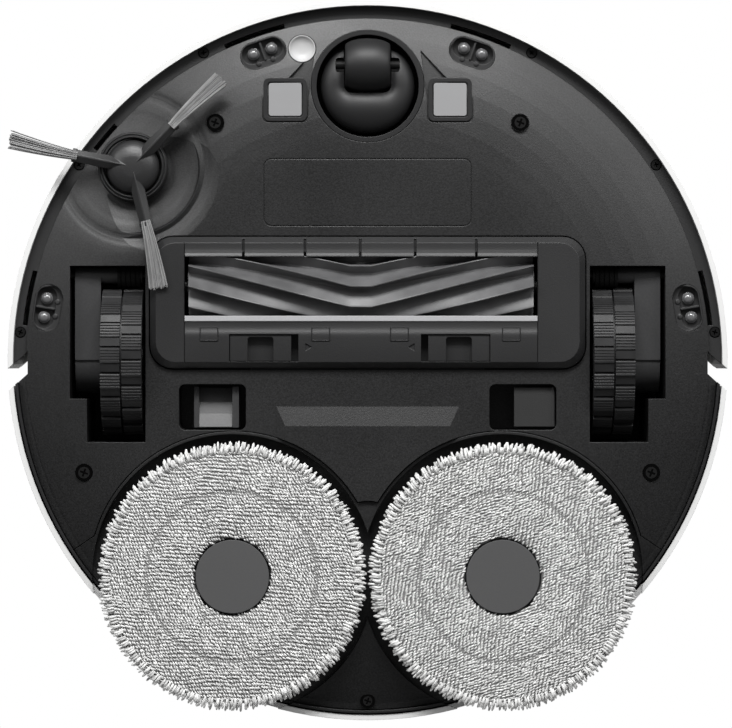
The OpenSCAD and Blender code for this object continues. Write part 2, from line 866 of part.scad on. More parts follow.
module brush_housing() color(black) difference() {
  x0 = brush_left - 0.6 - 3;
  x1 = brush_right + 0.6 + 2.4;
  union() {
    rod_x(x0, x1, brush_y, brush_z, tunnel_r + tunnel_t);
    block(x0, x1, brush_y - tunnel_r - tunnel_t, brush_y + tunnel_r + tunnel_t, flange_z, brush_z);
    rounded_block(
      -guard_l / 2, guard_l / 2, guard_y - guard_w / 2, guard_y + guard_w / 2, guard_corner,
      flange_z, flange_z + flange_t
    );
    block(-22, 22, brush_y + 15, bin_y - bin_w / 2 - 0.3, bin_z + 2, bin_z + 17);
  }
  rod_x(brush_left - 0.6, brush_right + 0.6, brush_y, brush_z, tunnel_r);
  block(brush_left - 0.6, brush_right + 0.6, brush_y - tunnel_r, brush_y + tunnel_r, 0, brush_z);
  rod_x(x0 - 1, x1 + 1, brush_y, brush_z, pin_r + run);
  block(-20, 20, brush_y + 14, bin_y, bin_z + 4, bin_z + 15);
  block(-guard_l, guard_l, -body_r, body_r, -brush_r, flange_z);
  for (s = [0, 1]) hook_window(s);
}

// Window in the flange that a latch's hook reaches through
module hook_window(s) {
  x = s == 0 ? latch_left + 7.7 : latch_right + latch_l - 7.7 - 8;
  block(x, x + 8, hook_y[0] - 0.5, hook_y[1] + 0.5, flange_z - 1, flange_z + flange_t + 1);
}

module brush_motor() color(dark) {
  x0 = brush_right + 3.3;
  difference() {
    block(x0, x0 + 18.5, brush_y - 21, brush_y + 21, flange_z + flange_t + 0.2, 72);
    rod_x(x0 - 1, x0 + 3, brush_y, brush_z, pin_r + 1);
  }
  rod_x(x0 - 42, x0, brush_y, 60, 11);
}

// Triangle engraved beside a latch, pointing along +X or -X
module arrow(x, dir) {
  translate([x, -6.3, guard_z - 1]) linear_extrude(1.6) scale([dir, 1])
    polygon([[-1.6, -1.8], [-1.6, 1.8], [1.6, 0]]);
}

// Slot in the guard that a latch slides in
module latch_slot(x0) {
  block(x0, x0 + latch_l + latch_travel + 2 * latch_fit, latch_y[0], latch_y[1], 0, guard_top + 1);
}

module brush_guard() color(dark) difference() {
  union() {
    hull() for (k = [0, 1]) rounded_block(
      -guard_l / 2 + k * guard_chamfer, guard_l / 2 - k * guard_chamfer,
      guard_y - guard_w / 2 + k * guard_chamfer, guard_y + guard_w / 2 - k * guard_chamfer,
      guard_corner - k * guard_chamfer * 0.5,
      k == 0 ? guard_z + guard_chamfer : guard_z, k == 0 ? guard_z + guard_chamfer + 0.1 : guard_z + 0.1
    );
    rounded_block(
      -guard_l / 2, guard_l / 2, guard_y - guard_w / 2, guard_y + guard_w / 2, guard_corner,
      guard_z + guard_chamfer, guard_top
    );
    for (x = pads) translate([x - pad_size[0] / 2, pad_y - pad_size[1] / 2, guard_z - pad_size[2]])
      cube([pad_size[0], pad_size[1], 1]);
  }
  rod_x(brush_left, brush_right, brush_y, brush_z, brush_r + 1);
  block(brush_left, brush_right, bar_y[0] - 0.6, bar_y[1], 0, guard_z + 1);
  for (x = slits) block(x - slit_w / 2, x + slit_w / 2, brush_y - 23, brush_y - 12, 0, guard_z + 2.5);
  for (x = [brush_left, brush_right]) block(x - 0.2, x + 0.2, -100, 100, 0, guard_z + 0.6);
  latch_slot(latch_left - latch_fit);
  latch_slot(latch_right - latch_travel - latch_fit);
  arrow(-28.5, 1);
  arrow(21.1, -1);
}

module guard_bar() color([0.7, 0.7, 0.7])
  block(brush_left + 0.1, brush_right - 0.1, bar_y[0], bar_y[1] - 0.1, guard_z - 0.4, guard_z + 0.95);

// A latch with its finger notch; its hook reaches outwards over the flange
module latch(x0, outward) {
  y0 = latch_y[0] + latch_fit;
  y1 = latch_y[1] - latch_fit;
  centre = x0 + latch_l / 2;
  stem = outward < 0 ? x0 + 8.7 : x0 + latch_l - 8.7 - 3;
  difference() {
    block(x0, x0 + latch_l, y0, y1, guard_z + 0.9, guard_top - 0.3);
    rounded_block(centre - finger_l / 2, centre + finger_l / 2, y0 + 1, y1 + 4, 1.5, 0, guard_z + 5);
  }
  block(stem, stem + 3, hook_y[0], hook_y[1], guard_top - 0.4, flange_z + flange_t + 2);
  block(
    outward < 0 ? stem - 2.2 : stem, outward < 0 ? stem + 3 : stem + 5.2, hook_y[0], hook_y[1],
    flange_z + flange_t + 0.4, flange_z + flange_t + 2.4
  );
}

module guard_latch_left() color(dark) latch(latch_left, -1);

module guard_latch_right() color(dark) latch(latch_right, 1);

// ---------- caster ----------

module caster_socket() color(black) difference() {
  union() {
    disc(0, caster_y, caster_well_r + wall, belly(body_r - 42) - 0.2, caster_top);
    disc(0, caster_y, stem_r + 5, caster_top - 1, caster_top + 13);
  }
  disc(0, caster_y, caster_well_r, 0, caster_top - wall);
  disc(0, caster_y, stem_r + run, 0, caster_top + 11);
}

module caster_fork() color([0.12, 0.12, 0.12]) difference() {
  union() {
    translate([0, caster_y, 0]) rotate_extrude() polygon(concat(
      [[0, 5]],
      [for (i = [1:8]) [caster_dome_r * sin(i * 90 / 8), 5 + 11 * (1 - cos(i * 90 / 8))]],
      [[caster_dome_r, caster_top - wall - 1.5], [0, caster_top - wall - 1.5]]
    ));
    disc(0, caster_y, stem_r, caster_top - wall - 2, caster_top + 10);
  }
  rod_x(-roller_w / 2 - 0.6, roller_w / 2 + 0.6, caster_y - roller_trail, roller_r, roller_r + 1.2);
  block(
    -roller_w / 2 - 0.6, roller_w / 2 + 0.6, caster_y - caster_dome_r - 5, caster_y - roller_trail, -1,
    roller_r * 2 + 1.2
  );
  rod_x(-roller_w / 2 - 5, roller_w / 2 + 5, caster_y - roller_trail, roller_r, 2.05);
  block(
    -roller_w / 2 - 5, roller_w / 2 + 5, caster_y - roller_trail - 2.05, caster_y - roller_trail + 2.05, -1,
    roller_r
  );
}

module caster_wheel() color([0.2, 0.2, 0.2]) translate([0, caster_y - roller_trail, roller_r]) rotate([0, 90, 0])
  difference() {
    rotate_extrude() polygon(concat(
      [[0, -roller_w / 2]],
      [for (i = [-5:5]) [roller_r - 3 * pow(i / 5, 2), i * roller_w / 10]],
      [[0, roller_w / 2]]
    ));
    cylinder(r = 2 + run, h = roller_w + 2, center = true);
  }

module caster_axle() color([0.6, 0.6, 0.6])
  rod_x(-roller_w / 2 - 4.6, roller_w / 2 + 4.6, caster_y - roller_trail, roller_r, 2);

// ---------- drive wheels ----------

// Section of one row of tread blocks
module tread_section(phase) {
  step = 360 / tread_blocks;
  polygon([
    for (i = [0:tread_blocks - 1])
      for (p = [[0, -tread_depth], [0.06, 0], [0.26, 0], [0.46, 0], [0.66, 0], [0.72, -tread_depth]])
        let (a = (i + p[0] + phase) * step) [(wheel_r + p[1]) * cos(a), (wheel_r + p[1]) * sin(a)]
  ]);
}

module tyre(name) side(name) color([0.16, 0.16, 0.16]) {
  row = (tyre_w - 0.6) / 2;
  translate([wheel_x, 0, wheel_r]) rotate([90, 0, 90]) difference() {
    union() {
      linear_extrude(row) tread_section(0);
      translate([0, 0, row + 0.6]) linear_extrude(row) tread_section(0.5);
      cylinder(r = wheel_r - tread_depth - 0.6, h = tyre_w);
    }
    translate([0, 0, -1]) cylinder(r = hub_r, h = tyre_w + 2);
  }
}

module left_tyre() tyre("left");

module right_tyre() tyre("right");

module wheel_hub(name) side(name) color(dark) difference() {
  union() {
    rod_x(wheel_x + 0.5, wheel_end - 1, 0, wheel_r, hub_r);
    rod_x(wheel_end - 2, arm_x + 9, 0, wheel_r, axle_r);
  }
  difference() {
    rod_x(wheel_x, wheel_x + 6, 0, wheel_r, hub_r - 3);
    rod_x(wheel_x - 1, wheel_x + 7, 0, wheel_r, 8);
  }
}

module left_wheel_hub() wheel_hub("left");

module right_wheel_hub() wheel_hub("right");

// Gearbox arm that carries the wheel and swings about its front tube
module wheel_arm(name) side(name) color([0.2, 0.2, 0.2]) difference() {
  union() {
    rod_x(arm_x, arm_end, 0, wheel_r, arm_r);
    block(arm_x, arm_end, pivot_y, 0, wheel_r - arm_r - 1, wheel_r + arm_r - 4);
    rod_x(wheel_x + 0.4, arm_end, pivot_y, pivot_z, tube_r);
    block(arm_x + 0.4, arm_end - 0.4, -motor_l + 2, -4, wheel_r + arm_r - 5, wheel_r + arm_r + 4);
  }
  rod_x(arm_x - 1, arm_x + 9.5, 0, wheel_r, axle_r + run);
  rod_x(wheel_x, arm_end + 1, pivot_y, pivot_z, pivot_pin_r + run);
  rod_y(motor_x(), -motor_l - 1, 1, wheel_motor_z(), motor_r);
}

function motor_x() = (arm_x + arm_end) / 2;
function wheel_motor_z() = wheel_r + arm_r + 7;

module rod_y(x, y0, y1, z, r) {
  translate([x, y0, z]) rotate([-90, 0, 0]) cylinder(r = r, h = y1 - y0);
}

module left_wheel_arm() wheel_arm("left");

module right_wheel_arm() wheel_arm("right");

module wheel_motor(name) side(name) color([0.55, 0.55, 0.56])
  rod_y(motor_x(), -motor_l, -2, wheel_motor_z(), motor_r - 0.02);

module left_wheel_motor() wheel_motor("left");

module right_wheel_motor() wheel_motor("right");

// Torsion spring round the arm's tube, with the leg that rests in the well
module wheel_spring(name) side(name) color([0.6, 0.6, 0.6]) difference() {
  x0 = wheel_x + 1.5;
  union() {
    rod_x(x0, x0 + spring_l, pivot_y, pivot_z, tube_r + spring_in + spring_t);
    block(x0, x0 + spring_t, pivot_y - tube_r - spring_in - spring_t,
      pivot_y - tube_r - spring_in, pivot_z, pivot_z + 16);
  }
  rod_x(x0 - 1, x0 + spring_l + 1, pivot_y, pivot_z, tube_r + spring_in);
  for (i = [0:3]) difference() {
    rod_x(x0 + 1.8 + i * 2.4, x0 + 2.3 + i * 2.4, pivot_y, pivot_z, 9);
    rod_x(x0, x0 + spring_l, pivot_y, pivot_z, tube_r + spring_in + 0.9);
  }
}

module left_wheel_spring() wheel_spring("left");

module right_wheel_spring() wheel_spring("right");

// ---------- mops ----------

module mop_cloth(name) side(name) color([0.75, 0.75, 0.74])
  tube_z(mop_x, mop_y, cloth_r, mop_hub_r + 0.2, 0, cloth_t);

module left_mop_cloth() mop_cloth("left");

module right_mop_cloth() mop_cloth("right");

module mop_plate(name) side(name) color([0.35, 0.35, 0.36]) {
  disc(mop_x, mop_y, mop_hub_r, hub_z, cloth_t + 1);
  disc(mop_x, mop_y, plate_r, cloth_t, cloth_t + plate_t);
  disc(mop_x, mop_y, spindle_r, cloth_t + plate_t - eps, mop_motor_z + 12);
}

module left_mop_plate() mop_plate("left");

module right_mop_plate() mop_plate("right");

module mop_motor(name) side(name) color(black) difference() {
  disc(mop_x, mop_y, mop_motor_r, mop_motor_z, mop_motor_z + mop_motor_h);
  disc(mop_x, mop_y, spindle_r + run, mop_motor_z - 1, mop_motor_z + 14);
}

module left_mop_motor() mop_motor("left");

module right_mop_motor() mop_motor("right");

// ---------- sensors, contacts, vents ----------

module cliff_sensors() color(black) for (a = cliff_angles) at_rim(a, cliff_r) {
  z0 = belly(cliff_r) + 1.2;
  difference() {
    stadium(cliff_l - 0.2, cliff_w - 0.2, z0, z0 + 5);
    translate([0, -1.5, 0]) stadium(slot_l, slot_w, z0 - 1, z0 + 1.2);
    for (s = [-1, 1]) translate([s * lens_pitch / 2, -1.5, 0]) disc(0, 0, lens_r + 0.1, z0, z0 + 3);
  }
}

module cliff_lenses() color([0.75, 0.75, 0.78]) for (a = cliff_angles) at_rim(a, cliff_r)
  for (s = [-1, 1]) translate([s * lens_pitch / 2, -1.5, belly(cliff_r) + 2.4]) {
    rotate_extrude() polygon(concat(
      [[0, 1.7]], [[lens_r, 1.7], [lens_r, 0]],
      [for (i = [1:4]) [lens_r * cos(i * 22.5), -lens_r * sin(i * 22.5) * 0.9]]
    ));
  }

module carpet_sensor() color([0.85, 0.85, 0.85])
  at_rim(carpet_angle, carpet_pos_r) translate([0, 0, belly(carpet_pos_r)]) {
  rotate_extrude() polygon([[0, 0.6], [carpet_r - 1.6, 0.4], [carpet_r, -0.3], [carpet_r, 3.2], [0, 3.2]]);
}

module charge_contacts() color([0.75, 0.75, 0.76]) both_sides() {
  z0 = belly(132) - 0.2;
  rounded_block(
    contact_x - contact_size / 2, contact_x + contact_size / 2,
    contact_y - contact_size / 2, contact_y + contact_size / 2, 1.2, z0, z0 + 0.8
  );
}

module vent_flap() color([0.25, 0.25, 0.26]) {
  x1 = vent_out - 0.4;
  y0 = vent_y[0] + flap_inset;
  y1 = vent_y[1] - flap_inset;
  block(x1 - flap_l, x1 - 0.8, y0, y1, flap_z, flap_z + flap_t);
  rod_y(x1 - 0.9, y0, y1, flap_z + flap_t / 2, 0.8);
}

// ---------- battery, board, tank, speaker ----------

module battery_pack() color([0.2, 0.25, 0.35])
  rounded_block(-52, 52, -104, -62.5, 3, belly_z + wall + 2.5, 40);

module main_board() color([0.1, 0.3, 0.18]) {
  block(-60, 60, -104, -64, 44, 45.6);
  for (x = [-40, -10, 22]) block(x, x + 16, -92, -76, 45.5, 48);
}

module water_tank() color([0.5, 0.55, 0.6])
  rounded_block(-36, 36, mop_y + 17.5, mop_y + 45, 4, bay_z + wall + 2, 58);

module speaker() color(black) {
  disc(100, -98, 12, 17.5, 28);
  disc(100, -98, 8, 27, 32);
}

bottom_chassis();
rear_bottom_cover();
inner_frame();
top_shell();
top_lid();
dust_bin();
bin_filter();
lidar_base();
lidar_rotor();
lidar_cap();
bumper_skin();
bumper_rail();
bumper_window();
bumper_screws();
chassis_screws();
power_button();
dock_button();
side_brush_hub();
side_brush_bristles();
side_brush_screw();
side_brush_motor();
brush_core();
brush_fins();
brush_motor();
brush_housing();
brush_guard();
guard_bar();
guard_latch_left();
guard_latch_right();
caster_socket();
caster_fork();
caster_wheel();
caster_axle();
left_tyre();
right_tyre();
left_wheel_hub();
right_wheel_hub();
left_wheel_arm();
right_wheel_arm();
left_wheel_motor();
right_wheel_motor();
left_wheel_spring();
right_wheel_spring();
left_mop_cloth();
right_mop_cloth();
left_mop_plate();
right_mop_plate();
left_mop_motor();
right_mop_motor();
cliff_sensors();
cliff_lenses();
carpet_sensor();
charge_contacts();
vent_flap();
battery_pack();
main_board();
fan_housing();
fan_impeller();
water_tank();
speaker();
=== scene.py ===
# %% [markdown]
# # A robot vacuum seen from below
# The machine is a round floor robot: white skins, a black moulded belly, two drive wheels, a roller brush, a
# three-armed side brush, a swivel caster and two yarn mop pads. The CAD frame gives every piece its place, so
# this lesson only adds what a CAD file has no words for: rubber, yarn, nylon, grain, light.

# %% Load the frame
import json
import math
import random

import bmesh
import bpy
from mathutils import Matrix, Vector


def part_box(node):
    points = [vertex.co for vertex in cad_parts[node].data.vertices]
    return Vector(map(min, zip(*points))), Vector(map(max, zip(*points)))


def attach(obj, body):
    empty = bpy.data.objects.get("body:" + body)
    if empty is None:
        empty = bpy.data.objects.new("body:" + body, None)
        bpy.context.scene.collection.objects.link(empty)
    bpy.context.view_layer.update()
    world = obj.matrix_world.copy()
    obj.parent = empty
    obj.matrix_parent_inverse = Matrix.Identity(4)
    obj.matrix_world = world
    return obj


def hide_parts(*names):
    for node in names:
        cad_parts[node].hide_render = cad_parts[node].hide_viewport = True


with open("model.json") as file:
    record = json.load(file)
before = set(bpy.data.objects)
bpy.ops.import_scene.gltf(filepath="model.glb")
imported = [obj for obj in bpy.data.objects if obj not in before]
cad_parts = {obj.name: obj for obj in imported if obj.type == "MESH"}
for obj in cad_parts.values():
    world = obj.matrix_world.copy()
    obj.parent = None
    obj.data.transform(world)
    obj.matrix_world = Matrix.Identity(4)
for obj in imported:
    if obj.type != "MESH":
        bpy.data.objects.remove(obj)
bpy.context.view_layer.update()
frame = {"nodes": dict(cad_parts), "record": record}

MM = 0.001
random.seed(7)

# %% [markdown]
# ## The camera
# The belly is shown straight on, so the camera lies under the robot and looks up, with the front of the robot
# at the top of the frame. A long lens keeps the outline a true circle. The distance follows from the width
# that the frame has to take in.

# %% Camera
SENSOR = 36 * MM
LENS = 200.0
VIEW_WIDTH = 355.9 * MM
AIM = Vector((-0.8 * MM, 1.9 * MM, 17 * MM))
lens_distance = VIEW_WIDTH * LENS * MM / SENSOR
camera_data = bpy.data.cameras.new("belly_camera")
camera_data.lens = LENS
camera_data.sensor_width = SENSOR / MM
camera_data.clip_end = 50
camera = bpy.data.objects.new("belly_camera", camera_data)
camera.location = AIM - Vector((0, 0, lens_distance))
camera.rotation_euler = (math.pi, 0, 0)
bpy.context.collection.objects.link(camera)
bpy.context.scene.camera = camera
bpy.context.scene.view_settings.view_transform = "Standard"
print("camera distance, m:", round(lens_distance, 3))

# %% [markdown]
# ## Light and floor
# One broad soft box in front of the robot and below it makes the domed rim glow and leaves the flat middle dark.
# Two smaller ones to the left and right lift the flanks, and two more, above and behind, serve the views from the
# top and the back. The world gives a weak fill, but shows white behind the robot. The floor must not hide the
# belly, so its lower side is clear, and it takes no part in shadows or bounces.

# %% Light and floor
def shader_nodes(nodes, *kinds):
    """New shader nodes of the kinds named, in that order."""
    return [nodes.new("ShaderNode" + kind) for kind in kinds]


def soft_box(name, place, size, power):
    data = bpy.data.lights.new(name, "AREA")
    data.shape = "RECTANGLE"
    data.size, data.size_y = size
    data.energy = power
    lamp = bpy.data.objects.new(name, data)
    lamp.location = place
    lamp.rotation_euler = (AIM - Vector(place)).to_track_quat("-Z", "Y").to_euler()
    bpy.context.collection.objects.link(lamp)
    return lamp


soft_box("front_box", (0, -1.5, -1.25), (1.2, 0.55), 44)
soft_box("right_box", (1.35, -1.0, -1.2), (0.8, 0.8), 12)
soft_box("left_box", (-1.35, -1.0, -1.2), (0.8, 0.8), 11)
soft_box("top_box", (0.3, -0.9, 1.5), (1.2, 1.2), 21)
soft_box("back_box", (-0.6, 1.9, 0.5), (1.2, 0.8), 13)

world = bpy.data.worlds.new("studio")
bpy.context.scene.world = world
world.use_nodes = True
nodes, links = world.node_tree.nodes, world.node_tree.links
nodes.clear()
fill_light, backdrop = shader_nodes(nodes, "Background", "Background")
fill_light.inputs["Strength"].default_value = 0.18
backdrop.inputs["Color"].default_value = (1, 1, 1, 1)
backdrop.inputs["Strength"].default_value = 1.0
pick, rays, out = shader_nodes(nodes, "MixShader", "LightPath", "OutputWorld")
links.new(rays.outputs["Is Camera Ray"], pick.inputs["Fac"])
links.new(fill_light.outputs[0], pick.inputs[1])
links.new(backdrop.outputs[0], pick.inputs[2])
links.new(pick.outputs[0], out.inputs["Surface"])


def add_object(name, mesh):
    piece = bpy.data.objects.new(name, mesh)
    bpy.context.collection.objects.link(piece)
    return piece


floor_mesh = bpy.data.meshes.new("floor")
FLOOR = 1.6
FLOOR_Z = -0.0005
floor_mesh.from_pydata([(x * FLOOR, y * FLOOR, FLOOR_Z) for x, y in ((-1, -1), (1, -1), (1, 1), (-1, 1))], [],
                       [(0, 1, 2, 3)])
floor = add_object("floor", floor_mesh)
floor_paint = bpy.data.materials.new("pale_floor")
floor_paint.use_nodes = True
nodes, links = floor_paint.node_tree.nodes, floor_paint.node_tree.links
clear, side, pick = shader_nodes(nodes, "BsdfTransparent", "NewGeometry", "MixShader")
nodes["Principled BSDF"].inputs["Base Color"].default_value = (0.8, 0.8, 0.79, 1)
nodes["Principled BSDF"].inputs["Roughness"].default_value = 0.7
links.new(side.outputs["Backfacing"], pick.inputs["Fac"])
links.new(nodes["Principled BSDF"].outputs[0], pick.inputs[1])
links.new(clear.outputs[0], pick.inputs[2])
links.new(pick.outputs[0], nodes["Material Output"].inputs["Surface"])
floor_mesh.materials.append(floor_paint)
floor.visible_shadow = floor.visible_diffuse = floor.visible_glossy = False
print("floor side, m:", 2 * FLOOR)

# %% [markdown]
# ## Finishes
# Moulded plastic is never one flat colour: the tool leaves a fine spark-eroded grain, handling leaves faint
# clouds, and the gloss drifts with both. One function makes that family from a few numbers. Metal, rubber and
# yarn get small functions of their own. All patterns read Object coordinates, so they stay fixed to the piece.

# %% Node helpers
def finish_start(name, colour, rough, metallic=0.0, specular=0.5):
    paint = bpy.data.materials.new(name)
    paint.use_nodes = True
    shader = paint.node_tree.nodes["Principled BSDF"]
    shader.inputs["Base Color"].default_value = (*colour, 1)
    shader.inputs["Roughness"].default_value = rough
    shader.inputs["Metallic"].default_value = metallic
    shader.inputs["Specular IOR Level"].default_value = specular
    return paint, paint.node_tree.nodes, paint.node_tree.links, shader


def noise_at(nodes, links, scale, detail=3.0, stretch=(1, 1, 1)):
    where, mapping, noise = shader_nodes(nodes, "TexCoord", "Mapping", "TexNoise")
    mapping.inputs["Scale"].default_value = stretch
    noise.inputs["Scale"].default_value = scale
    noise.inputs["Detail"].default_value = detail
    links.new(where.outputs["Object"], mapping.inputs["Vector"])
    links.new(mapping.outputs["Vector"], noise.inputs["Vector"])
    return noise.outputs["Fac"]


def spread(nodes, links, source, low, high):
    scale = nodes.new("ShaderNodeMapRange")
    scale.inputs["From Min"].default_value = 0.3
    scale.inputs["From Max"].default_value = 0.7
    scale.inputs["To Min"].default_value = low
    scale.inputs["To Max"].default_value = high
    links.new(source, scale.inputs["Value"])
    return scale.outputs["Result"]


def two_tone(nodes, links, shader, source, colour, change):
    ramp = nodes.new("ShaderNodeValToRGB")
    ramp.color_ramp.elements[0].position = 0.3
    ramp.color_ramp.elements[1].position = 0.7
    ramp.color_ramp.elements[0].color = (*[c * (1 - change) for c in colour], 1)
    ramp.color_ramp.elements[1].color = (*[min(1, c * (1 + change)) for c in colour], 1)
    links.new(source, ramp.inputs["Fac"])
    links.new(ramp.outputs["Color"], shader.inputs["Base Color"])


def bump(nodes, links, shader, source, depth, edge=0.0, reliefs=()):
    """Fine relief laid over broader reliefs, which are laid over softly rounded edges."""
    node = nodes.new("ShaderNodeBump")
    node.inputs["Distance"].default_value = depth
    links.new(source, node.inputs["Height"])
    chain = [relief(nodes, links) for relief in reliefs] + [node]
    if edge:
        rounding = nodes.new("ShaderNodeBevel")
        rounding.samples = 6
        rounding.inputs["Radius"].default_value = edge
        links.new(rounding.outputs["Normal"], chain[0].inputs["Normal"])
    for lower, upper in zip(chain, chain[1:]):
        links.new(lower.outputs["Normal"], upper.inputs["Normal"])
    links.new(node.outputs["Normal"], shader.inputs["Normal"])


def curved(nodes, links, source, span, curve, depth):
    """Broad relief: a bump whose height follows a curve of (share of the span, share of the depth)."""
    scale, shape, node = shader_nodes(nodes, "MapRange", "FloatCurve", "Bump")
    scale.inputs["From Min"].default_value, scale.inputs["From Max"].default_value = span
    line = shape.mapping.curves[0]
    line.points[0].location, line.points[1].location = curve[0], curve[-1]
    for place in curve[1:-1]:
        line.points.new(*place)
    shape.mapping.update()
    node.inputs["Distance"].default_value = depth
    links.new(source, scale.inputs["Value"])
    links.new(scale.outputs["Result"], shape.inputs["Value"])
    links.new(shape.outputs["Value"], node.inputs["Height"])
    return node


# %% Finish functions
def moulded(name, colour, rough, grain=1800, depth=0.00006, change=0.12, specular=0.5, edge=0.0005, reliefs=()):
    paint, nodes, links, shader = finish_start(name, colour, rough, specular=specular)
    fine, clouds = noise_at(nodes, links, grain, 4), noise_at(nodes, links, 14, 3)
    two_tone(nodes, links, shader, fine, colour, change)
    links.new(spread(nodes, links, clouds, rough - 0.05, rough + 0.06), shader.inputs["Roughness"])
    bump(nodes, links, shader, fine, depth, edge, reliefs)
    return paint


def polished(name, colour, rough, coat=0.0):
    paint, nodes, links, shader = finish_start(name, colour, rough)
    shader.inputs["Coat Weight"].default_value = coat
    clouds = noise_at(nodes, links, 30, 4)
    two_tone(nodes, links, shader, clouds, colour, 0.02)
    links.new(spread(nodes, links, clouds, rough - 0.02, rough + 0.03), shader.inputs["Roughness"])
    bump(nodes, links, shader, noise_at(nodes, links, 220, 2), 0.000006, 0.0003)
    return paint


def brushed(name, colour, rough, stretch=(1, 40, 1)):
    paint, nodes, links, shader = finish_start(name, colour, rough, metallic=1.0)
    streaks = noise_at(nodes, links, 260, 3, stretch)
    two_tone(nodes, links, shader, streaks, colour, 0.08)
    links.new(spread(nodes, links, streaks, rough - 0.06, rough + 0.08), shader.inputs["Roughness"])
    bump(nodes, links, shader, streaks, 0.00001, 0.0004)
    return paint


def rubber(name, colour, rough, grain=900):
    paint, nodes, links, shader = finish_start(name, colour, rough, specular=0.4)
    dust = noise_at(nodes, links, 90, 6)
    two_tone(nodes, links, shader, dust, colour, 0.2)
    links.new(spread(nodes, links, dust, rough - 0.06, rough + 0.06), shader.inputs["Roughness"])
    bump(nodes, links, shader, noise_at(nodes, links, grain, 3), 0.00004)
    return paint


def yarn(name, dark, light):
    paint, nodes, links, shader = finish_start(name, light, 0.9, specular=0.15)
    shader.inputs["Sheen Weight"].default_value = 0.25
    shade, ramp = shader_nodes(nodes, "Attribute", "ValToRGB")
    shade.attribute_name = "shade"
    # The pad body has no 'shade' attribute, so it takes this dark end: painted shade in the gaps between the loops.
    ramp.color_ramp.elements[0].color = (*dark, 1)
    ramp.color_ramp.elements[1].color = (*light, 1)
    fibres = noise_at(nodes, links, 1500, 3, (1, 2.5, 1))
    mix = nodes.new("ShaderNodeMath")
    mix.operation = "MULTIPLY_ADD"
    mix.inputs[1].default_value = 0.45
    links.new(fibres, mix.inputs[0])
    links.new(shade.outputs["Fac"], mix.inputs[2])
    links.new(mix.outputs[0], ramp.inputs["Fac"])
    links.new(ramp.outputs["Color"], shader.inputs["Base Color"])
    bump(nodes, links, shader, fibres, 0.0002)
    return paint


# %% [markdown]
# Three broad reliefs finish the underside: the slow swell of the dome towards its rim, soft waves round the dish of
# the side brush, and the gentle slopes of the brush guard, which rises towards its window and falls away behind it.

# %% Broad reliefs
SIDE_CENTRE = Vector((-113.8 * MM, -93.6 * MM, 0))


def distance_from(nodes, links, centre):
    where, flat, distance = shader_nodes(nodes, "TexCoord", "VectorMath", "VectorMath")
    flat.operation, distance.operation = "MULTIPLY", "DISTANCE"
    flat.inputs[1].default_value = (1, 1, 0)
    distance.inputs[1].default_value = centre
    links.new(where.outputs["Object"], flat.inputs[0])
    links.new(flat.outputs[0], distance.inputs[0])
    return distance.outputs["Value"]


def dome_swell(nodes, links):
    """Height of the dome under its flat middle: it falls away with the square of the distance."""
    past, square, swell = shader_nodes(nodes, "MapRange", "Math", "Bump")
    past.inputs["From Min"].default_value, past.inputs["From Max"].default_value = 95 * MM, 167 * MM
    square.operation = "MULTIPLY"
    swell.invert = True
    swell.inputs["Distance"].default_value = 0.006
    links.new(distance_from(nodes, links, (0, 0, 0)), past.inputs["Value"])
    for socket in square.inputs[:2]:
        links.new(past.outputs["Result"], socket)
    links.new(square.outputs[0], swell.inputs["Height"])
    return swell


def dish_waves(nodes, links):
    waves = [(0, 0), (0.4, 0.0), (0.5, 0.12), (0.6, 0.36), (0.64, 0.4), (0.67, 0.38), (0.72, 0.5), (0.8, 0.86),
             (0.88, 0.98), (1, 1)]
    return curved(nodes, links, distance_from(nodes, links, SIDE_CENTRE), (0, 50 * MM), waves, 0.0022)


GUARD_SPAN = (-59.7 * MM, 4 * MM)
GUARD_MIDDLE = (-3.2 * MM, 85.4 * MM)


def guard_slopes(nodes, links):
    where, split = shader_nodes(nodes, "TexCoord", "SeparateXYZ")
    links.new(where.outputs["Object"], split.inputs[0])
    middle, along = shader_nodes(nodes, "Math", "Math")
    middle.operation, along.operation = "COMPARE", "MULTIPLY_ADD"
    middle.inputs[1].default_value, middle.inputs[2].default_value = GUARD_MIDDLE
    along.inputs[2].default_value = GUARD_SPAN[0]
    shifted = nodes.new("ShaderNodeMath")
    shifted.operation = "SUBTRACT"
    shifted.inputs[1].default_value = GUARD_SPAN[0]
    links.new(split.outputs["X"], middle.inputs[0])
    links.new(split.outputs["Y"], shifted.inputs[0])
    links.new(shifted.outputs[0], along.inputs[0])
    links.new(middle.outputs[0], along.inputs[1])
    slopes = [(0, 0.0), (0.06, 0.02), (0.12, 0.2), (0.19, 0.62), (0.2, 0.62), (0.64, 0.3), (0.66, 0.3), (0.75, 0.72),
              (0.77, 0.74), (0.9, 0.7), (1, 0.35)]
    return curved(nodes, links, along.outputs[0], GUARD_SPAN, slopes, 0.0022)


